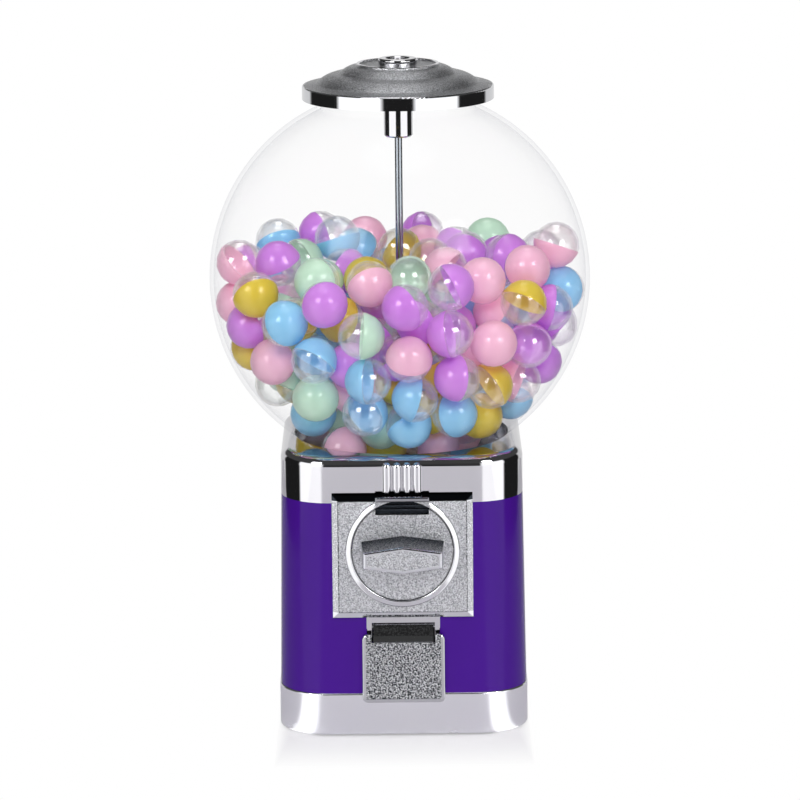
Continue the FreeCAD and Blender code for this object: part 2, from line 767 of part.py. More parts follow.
def lid():
    """Chrome lid: an upright polished rim, then two rounded steps up to a ring round the lock."""
    body = new_body("lid")
    wall = dim.lid_wall
    step_in = dim.lid_step_radius
    mid_out = dim.lid_mid_radius
    mid_in = mid_out - 2.0
    top_out = dim.lid_top_radius
    hole = dim.lock_radius + dim.slip
    profile = outline(sketch_on(body, "lid_profile", "XZ_Plane"), [
        (dim.lid_radius, dim.lid_bottom),
        (dim.lid_radius, rim_top - 1.0),
        (dim.lid_radius - 1.0, rim_top, 1.0, 1),
        (step_in, step_level - 0.6),
        (mid_out, mid_level, 20.0, 1),
        (mid_in, mid_level + 0.3),
        (top_out + 0.8, dim.lid_top - 1.4, 16.0, 1),
        (top_out, dim.lid_top),
        (top_out - 1.4, dim.lid_top),
        (top_out - 1.8, lock_seat),
        (hole, lock_seat),
        (hole, lock_seat - wall),
        (top_out - 1.0, lock_seat - wall),
        (mid_in - 1.0, mid_level - wall),
        (mid_out - 1.0, mid_level - wall - 0.3),
        (dim.mouth_radius - dim.globe_wall - 1.5, lid_under),
        (dim.mouth_radius + 0.8, lid_under),
        (dim.lid_radius - wall, rim_top - wall),
        (dim.lid_radius - wall, dim.lid_bottom)])
    revolve(body, profile)


def lid_lock():
    """Barrel through the lid with a flange on top, a nut below the lid, and a plug that turns in it."""
    bore = dim.plug_radius + run_gap
    body = new_body("lock_barrel")
    profile = outline(sketch_on(body, "barrel_profile", "XZ_Plane"), [
        (bore, dim.lock_bottom),
        (dim.lock_radius - 1.0, dim.lock_bottom),
        (dim.lock_radius, dim.lock_bottom + 1.0),
        (dim.lock_radius, lock_seat),
        (dim.lock_flange, lock_seat),
        (dim.lock_flange, dim.lock_top - 1.2),
        (dim.lock_flange - 1.2, dim.lock_top, 1.2, 1),
        (bore + 0.8, dim.lock_top),
        (bore, dim.lock_top - 0.8)])
    revolve(body, profile)
    under = lock_seat - dim.lid_wall
    nut = hexagon("lock_nut_blank", dim.lock_nut_flats, dim.lock_nut_height, z=under - dim.lock_nut_height)
    bore_tool = cylinder("lock_nut_bore", dim.lock_radius + 0.05, dim.lock_nut_height + 2,
                         z=under - dim.lock_nut_height - 1)
    keep(cut("lock_nut", nut, [bore_tool]), "lock_nut")
    plug_top = dim.lock_top - 0.9
    plug = cylinder("plug_blank", dim.plug_radius, plug_top - dim.lock_bottom - 1.0, z=dim.lock_bottom + 1.0)
    keyway = block("plug_keyway", (-0.9, -3.6, plug_top - 9.0), (0.9, 3.6, plug_top + 1))
    thread = cylinder("plug_thread", dim.rod_radius + part_gap, dim.rod_top + 2 - dim.lock_bottom,
                      z=dim.lock_bottom)
    keep(cut("lock_plug", plug, [keyway, thread]), "lock_plug")


def centre_rod():
    """Rod from the base to the lid, with its nuts and washers."""
    keep(cylinder("centre_rod", dim.rod_radius, dim.rod_top - dim.rod_bottom, z=dim.rod_bottom), "centre_rod")
    nut_levels = (well_top - dim.washer_height - dim.rod_nut_height, dim.boss_top,
                  dim.hub_top + dim.washer_height)
    washer_levels = (well_top - dim.washer_height, dim.hub_top)
    bore = cylinder("rod_nut_bore", dim.rod_radius + 0.05, dim.rod_top, z=0)
    nuts = [cut("rod_nut_%d" % i, hexagon("rod_nut_blank_%d" % i, dim.rod_nut_flats, dim.rod_nut_height, z=z),
                [bore]) for i, z in enumerate(nut_levels)]
    keep(group("rod_nuts", nuts), "rod_nuts")
    washers = [cut("rod_washer_%d" % i, cylinder("rod_washer_blank_%d" % i, dim.washer_radius,
                                                 dim.washer_height, z=z), [bore])
               for i, z in enumerate(washer_levels)]
    keep(group("rod_washers", washers), "rod_washers")


def radial(name, radius, length, start, degrees, level):
    """A cylinder lying along a radius at a bearing and a level."""
    item = cylinder(name, radius, length, start * cosine(degrees), start * sine(degrees), level)
    item.Placement.Rotation = Rotation(Vector(0, 0, 1), Vector(cosine(degrees).value, sine(degrees).value, 0))
    return item


guard_level = wheel_top + dim.guard_rise
guard_screw_level = guard_level + 5.0
guard_screw_bearings = (dim.outlet_angle - 8.0, dim.outlet_angle + 8.0)


def hopper():
    """Moulded bowl under the globe: floor, wall, flange on the collar's ledge, and a hub on a bridge."""
    body = doc.addObject("PartDesign::Body", "hopper_body")
    profile = outline(sketch_on(body, "hopper_profile", "XZ_Plane"), [
        (dim.hopper_hole, hopper_floor),
        (dim.hopper_radius, hopper_floor),
        (dim.hopper_radius, dim.ledge_top),
        (well_radius - dim.slip, dim.ledge_top),
        (well_radius - dim.slip, flange_top),
        (hopper_inside, flange_top),
        (hopper_inside, floor_top),
        (dim.hopper_hole, floor_top)])
    revolve(body, profile)
    clear = dim.hopper_hole + 1
    reach = dim.hopper_hole + 6
    low = hopper_floor - dim.bridge_height
    bridge = outline(sketch_on(body, "hopper_bridge", "XZ_Plane", dim.bridge_width / -2), [
        (-reach, low),
        (reach, low),
        (reach, hopper_floor + 1),
        (clear, hopper_floor + 1),
        (clear, hopper_floor - 0.6),
        (-clear, hopper_floor - 0.6),
        (-clear, hopper_floor + 1),
        (-reach, hopper_floor + 1)])
    pad(body, bridge, dim.bridge_width)
    drop_low = hopper_floor - dim.drop_length
    hub = cylinder("hopper_hub", dim.hub_radius, dim.hub_top - low, z=low)
    drop = cylinder("hopper_drop", dim.outlet_radius + 1.6, dim.drop_length + 1, outlet_x, outlet_y, drop_low)
    bores = [cylinder("hopper_bore", dim.rod_radius + part_gap, dim.hub_top, z=low - 1),
             cylinder("hopper_outlet", dim.outlet_radius, dim.drop_length * 2, outlet_x, outlet_y, drop_low - 1)]
    for i, bearing in enumerate(guard_screw_bearings):
        bores.append(radial("hopper_hole_%d" % i, dim.screw_radius, 6.0, hopper_inside - 1, bearing,
                            guard_screw_level))
    keep(cut("hopper", fuse("hopper_solid", [body, hub, drop]), bores), "hopper")


def sector(sketch, inner, outer, half_angle):
    """Draws a sector of a ring about the X axis."""
    c = cosine(half_angle)
    s = sine(half_angle)
    return outline(sketch, [
        (inner * c, -(inner * s), inner, -1),
        (outer * c, -(outer * s)),
        (outer * c, outer * s, outer, 1),
        (inner * c, inner * s)])


def outlet_guard():
    """Plate over the outlet pocket that keeps a second capsule out, with a lip screwed to the hopper."""
    body = doc.addObject("PartDesign::Body", "guard_body")
    outer = hopper_inside - 0.1
    pad(body, sector(sketch_on(body, "guard_plate", "XY_Plane", guard_level), dim.guard_inner, outer,
                     dim.guard_half_angle), dim.guard_height)
    pad(body, sector(sketch_on(body, "guard_lip", "XY_Plane", guard_level), outer - 1.4, outer,
                     dim.guard_half_angle * 0.6), dim.guard_lip)
    place(body, axis=(0, 0, 1), angle=dim.outlet_angle)
    holes = [radial("guard_hole_%d" % i, dim.screw_radius + 0.1, 6.0, outer - 3, bearing, guard_screw_level)
             for i, bearing in enumerate(guard_screw_bearings)]
    keep(cut("outlet_guard", body, holes), "outlet_guard")
    screws = []
    for i, bearing in enumerate(guard_screw_bearings):
        start = outer - 1.4
        head = radial("guard_screw_head_%d" % i, dim.screw_head - 0.2, 1.3, start - 1.4, bearing,
                      guard_screw_level)
        shank = radial("guard_screw_shank_%d" % i, dim.screw_radius, 5.0, start - 0.5, bearing,
                       guard_screw_level)
        screws.append(fuse("guard_screw_%d" % i, [head, shank]))
    keep(group("guard_screws", screws), "guard_screws")


def dispensing_wheel():
    """Hollow moulded wheel with through pockets and, below it, a ring of crown teeth for the pinion."""
    skin = dim.wheel_skin
    count = int(dim.pocket_count.value)
    bearings = [dim.outlet_angle + 360.0 / count * step for step in range(count)]
    centres = [(dim.pocket_reach * cosine(b), dim.pocket_reach * sine(b)) for b in bearings]
    low = wheel_bottom - 1
    hollow_height = dim.wheel_height - skin
    disc = cylinder("wheel_disc", dim.wheel_radius, dim.wheel_height, z=wheel_bottom)
    inside = cylinder("wheel_inside", dim.wheel_radius - skin, hollow_height + 1, z=low)
    kept = [cylinder("wheel_hub", dim.hub_radius + skin * 1.5, dim.wheel_height * 2, z=low - 1)]
    ring_out = crown_pitch + dim.gear_face / 2 + 0.3
    ring_in = crown_pitch - dim.gear_face / 2 - 0.3
    kept.append(cut("wheel_ring", cylinder("wheel_ring_out", ring_out, dim.wheel_height * 2, z=low - 1),
                    [cylinder("wheel_ring_in", ring_in, dim.wheel_height * 2, z=low - 1)]))
    for number, (x, y) in enumerate(centres):
        kept.append(cylinder("wheel_tube_%d" % number, dim.pocket_radius + skin, dim.wheel_height * 2, x, y,
                             low - 1))
    hollow = cut("wheel_hollow", inside, kept)
    bores = [cylinder("wheel_bore", dim.hub_radius + run_gap, dim.wheel_height * 2, z=low)]
    for number, (x, y) in enumerate(centres):
        bores.append(cylinder("wheel_pocket_%d" % number, dim.pocket_radius, dim.wheel_height * 2, x, y, low))
    blank = cut("wheel_blank", disc, [hollow] + bores)
    crown = doc.addObject("PartDesign::Body", "crown")
    base = sketch_on(crown, "crown_base", "XY_Plane", wheel_bottom)
    ring_of(base, 0, 0, ring_out)
    ring_of(base, 0, 0, ring_in)
    pad(crown, base, skin)
    tip_level = pitch_level - dim.gear_module * 0.93
    tip = dim.gear_module * 0.38
    foot = dim.gear_module * 0.76
    tooth = outline(sketch_on(crown, "crown_tooth", "XZ_Plane", ring_in + 0.1), [
        (-tip, tip_level),
        (tip, tip_level),
        (foot, wheel_bottom + 1),
        (-foot, wheel_bottom + 1)])
    first = pad(crown, tooth, ring_out - ring_in - 0.3)
    teeth = crown.newObject("PartDesign::PolarPattern", "crown_teeth")
    teeth.Originals = [first]
    teeth.Axis = ([item for item in crown.Origin.OriginFeatures if item.Role == "Z_Axis"][0], [""])
    teeth.Angle = 360
    teeth.Occurrences = int(dim.pinion_teeth.value) * count
    crown.Tip = teeth
    place(crown, axis=(0, 0, 1), angle=180.0 / (dim.pinion_teeth * count))
    keep(fuse("dispensing_wheel", [blank, crown]), "dispensing_wheel")


def chute():
    """Sloping channel from under the outlet to the door, passing beside the centre rod."""
    body = doc.addObject("PartDesign::Body", "chute_body")
    half = dim.chute_width / 2
    outside = half + dim.chute_wall
    rear = dim.outlet_radius + 2.0
    ahead = outlet_y + front + 12.0
    rear_side = dim.chute_rear + dim.capsule_radius * 1.6
    front_side = dim.hinge_z - dim.chute_hinge_gap
    wall = dim.chute_wall
    channel = outline(sketch_on(body, "chute_side", "YZ_Plane", -outside), [
        (rear, dim.chute_rear - wall),
        (rear, rear_side),
        (-ahead, front_side),
        (-ahead, dim.chute_front - wall)])
    pad(body, channel, outside * 2)
    trough = outline(sketch_on(body, "chute_trough", "YZ_Plane", -half), [
        (rear + 1, dim.chute_rear),
        (rear + 1, rear_side + 4),
        (-ahead - 1, front_side + 4),
        (-ahead - 1, dim.chute_front)])
    pocket(body, trough, dim.chute_width, along=True)
    back = rectangle(sketch_on(body, "chute_back", "YZ_Plane", -outside), rear - wall, rear + 0.4, base_inside,
                     hopper_floor - dim.drop_length - part_gap)
    pad(body, back, outside * 2)
    place(body, outlet_x, outlet_y, 0, axis=(0, 0, -1), angle=dim.chute_turn)
    far = dim.body_width_low
    outside_box = block("chute_trim", (-far, -far * 2, 0), (far, part_gap - inner_face, far * 2))
    keep(cut("chute", body, [outside_box]), "chute")


def along_y(name, radius, start, end, x, level):
    """A cylinder along Y between two distances in front of the axis."""
    return cylinder(name, radius, start - end, x, -start, level, axis=(-1, 0, 0), angle=90)


def coin_plate():
    """Cast plate with a bevelled edge, a hood over the coin pocket and a round hole for the dial."""
    body = new_body("coin_plate")
    half = dim.plate_width / 2
    bevel = dim.plate_bevel
    flat = dim.plate_height - dim.plate_bevel_drop
    back = rectangle(sketch_on(body, "plate_back", "XZ_Plane", front), -half, half, dim.plate_bottom,
                     dim.plate_top)
    pad(body, back, flat)
    wide = rectangle(sketch_on(body, "plate_wide", "XZ_Plane", front + flat), -half, half, dim.plate_bottom,
                     dim.plate_top)
    narrow = rectangle(sketch_on(body, "plate_narrow", "XZ_Plane", plate_face), bevel - half, half - bevel,
                       dim.plate_bottom + bevel, dim.plate_top - bevel)
    loft(body, "AdditiveLoft", wide, narrow)
    hood = rectangle(sketch_on(body, "plate_hood", "XZ_Plane", front + 1), dim.hood_width / -2,
                     dim.hood_width / 2, dim.hood_bottom, dim.hood_top)
    raised = pad(body, hood, dim.plate_height - 1 + dim.hood_proud)
    dress(body, raised, "Fillet", as_size(0.9), at_level("Y", -(plate_face + dim.hood_proud)))
    pocket(body, ring_of(sketch_on(body, "plate_hole", "XZ_Plane", plate_face + dim.hood_proud + 1), 0,
                         dim.dial_height, dim.dial_radius + dim.dial_gap), dim.plate_height * 4)
    holes = sketch_on(body, "plate_screw_holes", "XZ_Plane", front)
    for side in (-1, 1):
        for level in (dim.screw_low, dim.screw_middle, dim.screw_high):
            ring_of(holes, side * dim.screw_reach, level, dim.screw_radius)
    pocket(body, holes, dim.screw_bite, along=True)


def dial_bezel():
    """Polished ring round the dial, open at the top where the coin goes in."""
    body = new_body("dial_bezel")
    ring = sketch_on(body, "bezel_ring", "XZ_Plane", plate_face)
    ring_of(ring, 0, dim.dial_height, dim.bezel_radius)
    ring_of(ring, 0, dim.dial_height, dim.dial_radius + dim.dial_gap)
    solid = pad(body, ring, dim.bezel_proud)
    dress(body, solid, "Fillet", dim.bezel_proud * 0.36, at_level("Y", -(plate_face + dim.bezel_proud)))
    half = dim.hood_width / 2 + dim.slip
    gap = rectangle(sketch_on(body, "bezel_gap", "XZ_Plane", plate_face - 1), -half, half,
                    dim.dial_height + dim.dial_radius / 2, dim.plate_top + dim.dial_radius)
    pocket(body, gap, dim.bezel_proud * 3, along=True)


def handle_outline(sketch, grow):
    """The bar of the handle seen from the front: six sides, highest in the middle."""
    long_half = dim.handle_length / 2 + grow
    mid_half = dim.handle_middle / 2 + grow
    end_half = dim.handle_end / 2 + grow
    level = dim.dial_height
    return outline(sketch, [
        (long_half, level - end_half),
        (long_half, level + end_half),
        (0, level + mid_half),
        (-long_half, level + end_half),
        (-long_half, level - end_half),
        (0, level - mid_half)])


def dial():
    """Textured dial with the bar handle cast on its face and the coin pocket at its top."""
    body = new_body("dial")
    disc = ring_of(sketch_on(body, "dial_disc", "XZ_Plane", dial_back), 0, dim.dial_height, dim.dial_radius)
    pad(body, disc, dial_face - dial_back)
    half = dim.coin_notch_width / 2
    low = dim.dial_height + dim.dial_radius - dim.coin_notch_drop
    notch = rectangle(sketch_on(body, "dial_notch", "XZ_Plane", dial_face), -half, half, low,
                      dim.dial_height + dim.dial_radius * 1.1)
    pocket(body, notch, dim.coin_notch_depth)
    rails = sketch_on(body, "dial_rails", "XZ_Plane", dial_face - dim.coin_notch_depth)
    for share in (0.3, 0.62):
        level = low + dim.coin_notch_drop * share
        rise = level + 0.9 - dim.dial_height
        rail_half = root(dim.dial_radius * dim.dial_radius - rise * rise) - 0.6
        rectangle(rails, -rail_half, rail_half, level, level + 0.9)
    pad(body, rails, dim.coin_notch_depth * 0.6)
    wide = handle_outline(sketch_on(body, "handle_foot", "XZ_Plane", dial_face - 1), dim.handle_draft)
    tip_level = dial_face + dim.handle_proud
    narrow = handle_outline(sketch_on(body, "handle_tip", "XZ_Plane", tip_level), as_size(0))
    bar = loft(body, "AdditiveLoft", wide, narrow)
    dress(body, bar, "Fillet", dim.handle_edge, at_level("Y", -tip_level))
    panel = handle_outline(sketch_on(body, "handle_panel", "XZ_Plane", tip_level), dim.handle_edge * -1.7)
    pocket(body, panel, 0.4)
    socket = ring_of(sketch_on(body, "dial_socket", "XZ_Plane", dial_back), 0, dim.dial_height,
                     dim.shaft_radius)
    pocket(body, socket, 2.0, along=True)


def toothed(sketch, count, points):
    """Draws a closed toothed outline about the dial's axis; points are (radius, degrees) of one tooth."""
    corners = []
    for number in range(count):
        for radius, degrees in points:
            bearing = math.radians(degrees + 360.0 * number / count)
            corners.append((radius * math.sin(bearing), dim.dial_height + radius * math.cos(bearing)))
    return outline(sketch, corners)


def knob_train():
    """What turns with the dial: shaft, coin carrier, ratchet wheel, pinion and shaft collar."""
    level = dim.dial_height
    keep(along_y("knob_shaft", dim.shaft_radius, dial_back + 2.0, shaft_end, 0, level), "knob_shaft")
    bore = along_y("train_bore", dim.shaft_radius, dial_back + 4.0, shaft_end - 4.0, 0, level)
    disc = along_y("carrier_disc", dim.carrier_radius, dial_back, carrier_back, 0, level)
    slot_back = carrier_back + dim.carrier_height * 0.3
    slot = block("carrier_slot", (-13.0, -(slot_back + 2.8), level + 7.0),
                 (13.0, -slot_back, level + dim.carrier_radius + 2))
    keep(cut("coin_carrier", disc, [bore, slot]), "coin_carrier")
    ratchet = new_body("ratchet_wheel")
    count = int(dim.ratchet_teeth.value)
    pitch = 360.0 / count
    saw = toothed(sketch_on(ratchet, "ratchet_saw", "XZ_Plane", ratchet_back), count,
                  [(dim.ratchet_radius - 2.4, 0.0), (dim.ratchet_radius, pitch * 0.9)])
    ring_of(saw, 0, level, dim.shaft_radius)
    pad(ratchet, saw, dim.ratchet_height)
    pinion = new_body("drive_pinion")
    gear = toothed(sketch_on(pinion, "pinion_gear", "XZ_Plane", crown_pitch - dim.gear_face / 2),
                   int(dim.pinion_teeth.value), pinion_tooth())
    ring_of(gear, 0, level, dim.shaft_radius)
    pad(pinion, gear, dim.gear_face)
    collar_front = dim.bracket_rear - dim.bearing_length + dim.bracket_wall - part_gap
    ring = along_y("shaft_collar_ring", dim.shaft_radius + 1.6, collar_front, collar_front - 3.0, 0, level)
    keep(cut("shaft_collar", ring, [bore]), "shaft_collar")


def pinion_tooth():
    """One tooth of the pinion as (radius, degrees), slim so that it runs free in the crown teeth."""
    module = dim.gear_module
    root_radius = pinion_pitch - module * 1.2
    tip_radius = pinion_pitch + module * 0.93
    root_half = math.degrees(module.value * 0.78 / root_radius.value)
    tip_half = math.degrees(module.value * 0.34 / tip_radius.value)
    return [(root_radius, -root_half), (tip_radius, -tip_half), (tip_radius, tip_half), (root_radius, root_half)]


def mechanism_bracket():
    """Bracket behind the coin plate with the shaft bearing, spacers, pawl post and spring post."""
    level = dim.dial_height
    half = dim.bracket_width / 2
    wall = block("bracket_wall_plate", (-half, -bracket_front, dim.bracket_low),
                 (half, -dim.bracket_rear, dim.bracket_high))
    bearing_rear = bracket_front - dim.bearing_length
    bearing = block("bracket_bearing", (-8.0, -bracket_front, dim.bracket_high - 4.0),
                    (8.0, -bearing_rear, hopper_floor - 0.6))
    solids = [wall, bearing]
    bores = [along_y("bracket_bore", dim.shaft_radius + run_gap, bracket_front + 1, bearing_rear - 1, 0, level)]
    for side in (-1, 1):
        for number, height in enumerate((dim.screw_low, dim.screw_middle)):
            tag = "%d_%d" % (side, number)
            solids.append(along_y("spacer_" + tag, dim.screw_radius + 2.8, inner_face, dim.bracket_rear,
                                  side * dim.screw_reach, height))
            bores.append(along_y("spacer_bore_" + tag, dim.screw_radius + 0.1, front, dim.bracket_rear - 1,
                                 side * dim.screw_reach, height))
    pawl_level = level - dim.pawl_drop
    post_front = carrier_back - part_gap - dim.pawl_height - part_gap
    solids.append(along_y("pawl_post", dim.pin_radius + 2.2, post_front, dim.bracket_rear, dim.pawl_reach,
                          pawl_level))
    bores.append(along_y("pawl_post_bore", dim.pin_radius, post_front + 1, dim.bracket_rear - 1,
                         dim.pawl_reach, pawl_level))
    solids.append(block("spring_post", (dim.pawl_reach + 7.6, -(carrier_back - part_gap), pawl_level - 5.0),
                        (dim.pawl_reach + 11.6, -dim.bracket_rear, pawl_level + 1.0)))
    keep(cut("mechanism_bracket", fuse("bracket_solid", solids), bores), "mechanism_bracket")


def ratchet_pawl():
    """Pawl beside the ratchet wheel, its pin, and the leaf spring that leans on it."""
    level = dim.dial_height - dim.pawl_drop
    x = dim.pawl_reach
    back = carrier_back - part_gap - dim.pawl_height
    nose_radius = dim.ratchet_radius + dim.pawl_clear
    nose_x = nose_radius * cosine(dim.nose_angle)
    nose_z = dim.dial_height - nose_radius * sine(dim.nose_angle)
    body = new_body("ratchet_pawl")
    lever = outline(sketch_on(body, "pawl_lever", "XZ_Plane", back), [
        (x - 2.4, level - 1.8),
        (x + 2.6, level + 1.2),
        (nose_x + 1.6, nose_z + 1.2),
        (nose_x, nose_z)])
    pad(body, lever, dim.pawl_height)
    pad(body, ring_of(sketch_on(body, "pawl_eye", "XZ_Plane", back), x, level, dim.pin_radius + 2.0),
        dim.pawl_height)
    pocket(body, ring_of(sketch_on(body, "pawl_bore", "XZ_Plane", back), x, level, dim.pin_radius + run_gap),
           dim.pawl_height, along=True)
    keep(along_y("pawl_pin", dim.pin_radius, carrier_back, dim.bracket_rear, x, level), "pawl_pin")
    spring = new_body("pawl_spring")
    seat = level + 1.0
    touch_x = nose_x + 2.9
    touch_z = nose_z + 0.3
    leaf = outline(sketch_on(spring, "spring_leaf", "XZ_Plane", back), [
        (x + 11.4, seat),
        (x + 11.4, seat + 0.5),
        (x + 7.8, seat + 0.5),
        (touch_x + 0.3, touch_z + 0.4),
        (touch_x, touch_z),
        (x + 7.6, seat)])
    pad(spring, leaf, dim.pawl_height)


def mechanism_screws():
    """Long screws through the bracket into the plate, and short ones through the shell into the plate."""
    tip = front + dim.screw_bite
    sets = {"bracket_screws": (dim.bracket_rear, (dim.screw_low, dim.screw_middle)),
            "plate_screws": (inner_face, (dim.screw_high,))}
    for name, (seat, levels) in sets.items():
        screws = []
        for side in (-1, 1):
            for number, level in enumerate(levels):
                tag = "%s_%d_%d" % (name, side, number)
                head = along_y(tag + "_head", dim.screw_head, seat, seat - dim.screw_head_height,
                               side * dim.screw_reach, level)
                shank = along_y(tag + "_shank", dim.screw_radius, tip, seat - 1, side * dim.screw_reach, level)
                screws.append(fuse(tag, [head, shank]))
        keep(group(name, screws), name)


def chute_frame():
    """Frame in the door opening: the bar seen above the flap, two ears for the pin, two screwed wings."""
    bar_half = dim.bar_width / 2
    ear_out = dim.door_width / 2 - dim.slip * 2
    ear_in = dim.neck_width / 2 + 1.0
    ear_low = dim.hinge_z - 4.5
    wing_out = frame_screw_reach + 5.0
    solids = [block("frame_bar", (-bar_half, -(front + 0.3), dim.bar_bottom),
                    (bar_half, dim.hinge_y + 2.5, dim.bar_top))]
    bores = []
    for side in (-1, 1):
        low, high = (ear_in, ear_out) if side > 0 else (-ear_out, -ear_in)
        solids.append(block("frame_ear_%d" % side, (low, -(front - 0.2), ear_low),
                            (high, dim.hinge_y + 4.0, dim.bar_top)))
        low, high = (ear_in, wing_out) if side > 0 else (-wing_out, -ear_in)
        solids.append(block("frame_wing_%d" % side, (low, -inner_face, ear_low - 2.0),
                            (high, 2.0 - inner_face, dim.bar_top)))
        bores.append(along_y("frame_hole_%d" % side, dim.screw_radius + 0.1, front, inner_face - 6,
                             side * frame_screw_reach, dim.hinge_z))
    bores.append(cylinder("frame_pin_bore", dim.pin_radius + 0.05, dim.door_width * 2, -dim.door_width,
                          dim.hinge_y, dim.hinge_z, axis=(0, 1, 0), angle=90))
    keep(cut("chute_frame", fuse("frame_solid", solids), bores), "chute_frame")
    screws = []
    seat = inner_face - 2.0
    for side in (-1, 1):
        head = along_y("frame_screw_head_%d" % side, dim.screw_head, seat, seat - dim.screw_head_height,
                       side * frame_screw_reach, dim.hinge_z)
        shank = along_y("frame_screw_shank_%d" % side, dim.screw_radius, front - 0.9, seat - 1,
                        side * frame_screw_reach, dim.hinge_z)
        screws.append(fuse("frame_screw_%d" % side, [head, shank]))
    keep(group("frame_screws", screws), "frame_screws")
    keep(cylinder("hinge_pin", dim.pin_radius, ear_out * 2 - 0.4, 0.2 - ear_out, dim.hinge_y, dim.hinge_z,
                  axis=(0, 1, 0), angle=90), "hinge_pin")


def chute_flap():
    """Cast flap over the door: a panel with rounded corners, a neck back to the hinge and a knuckle."""
    body = new_body("chute_flap")
    half = dim.flap_width / 2
    middle = (dim.flap_bottom + dim.flap_top) / 2
    panel = soft_rectangle(sketch_on(body, "flap_panel", "XZ_Plane", flap_back), half,
                           (dim.flap_top - dim.flap_bottom) / 2, dim.flap_corner, middle)
    solid = pad(body, panel, dim.flap_height)
    dress(body, solid, "Fillet", dim.flap_edge, at_level("Y", -flap_face))
    neck_half = dim.neck_width / 2
    notch = rectangle(sketch_on(body, "flap_notch", "XZ_Plane", flap_face), -(neck_half + 1.2),
                      neck_half + 1.2, dim.flap_top - 5.5, dim.flap_top + 2)
    pocket(body, notch, dim.flap_height)
    neck = outline(sketch_on(body, "flap_neck", "YZ_Plane", -neck_half), [
        (0.5 - flap_back - dim.flap_height / 2, dim.flap_top - 5.7),
        (-flap_back - dim.flap_height / 2 + 0.5, dim.flap_top - 12.5),
        (dim.hinge_y + 1.3, dim.hinge_z - 2.3),
        (dim.hinge_y - 2.1, dim.hinge_z + 1.8)])
    pad(body, neck, dim.neck_width)
    pad(body, ring_of(sketch_on(body, "flap_knuckle", "YZ_Plane", -neck_half), dim.hinge_y, dim.hinge_z,
                      dim.knuckle_radius), dim.neck_width)
    pocket(body, ring_of(sketch_on(body, "flap_bore", "YZ_Plane", -neck_half - 1), dim.hinge_y, dim.hinge_z,
                         dim.pin_radius + run_gap), dim.neck_width + 2, along=True)


# Capsules that show at the front, by colour: millimetres across and up from the globe's middle as they
# are seen from the front and a little above
SEEN = {
    "blue": ((-79, 27), (-27, 18), (-72, -26), (-53, -50), (-22, -62), (-65, -79), (-26, -84), (9, -73),
             (33, -85), (5, -96), (101, -15), (74, -71)),
    "pink": ((-25, 28), (-18, -1), (-101, 7), (-102, -12), (-84, -54), (-39, -95), (101, 9), (28, 5),
             (53, -1), (82, 4), (58, -39), (8, -46), (79, -63)),
    "purple": ((-49, 32), (-97, -29), (-47, -13), (15, 31), (38, 22), (68, 14), (89, 17), (97, -14),
               (6, -15), (28, -9), (28, -30), (81, -42), (95, -39), (36, -62), (91, -47), (-86, 7)),
    "green": ((-63, 11), (-51, 0), (-24, -33), (-53, -75), (55, 25), (5, 2), (-75, -69)),
    "yellow": ((-2, 20), (-92, -6), (-92, -44), (21, 13), (76, -14), (61, -67), (58, -84)),
}
VIEW_TILT = math.radians(10.5)
FILL_LEVEL = 12.0
FILL_TOP = 22.0
FILL_SPACING = 1.0
SETTLE_PASSES = 260
SPREAD_PASSES = 900
SINK_STEP = 0.12
SEEN_WEIGHT = 0.1


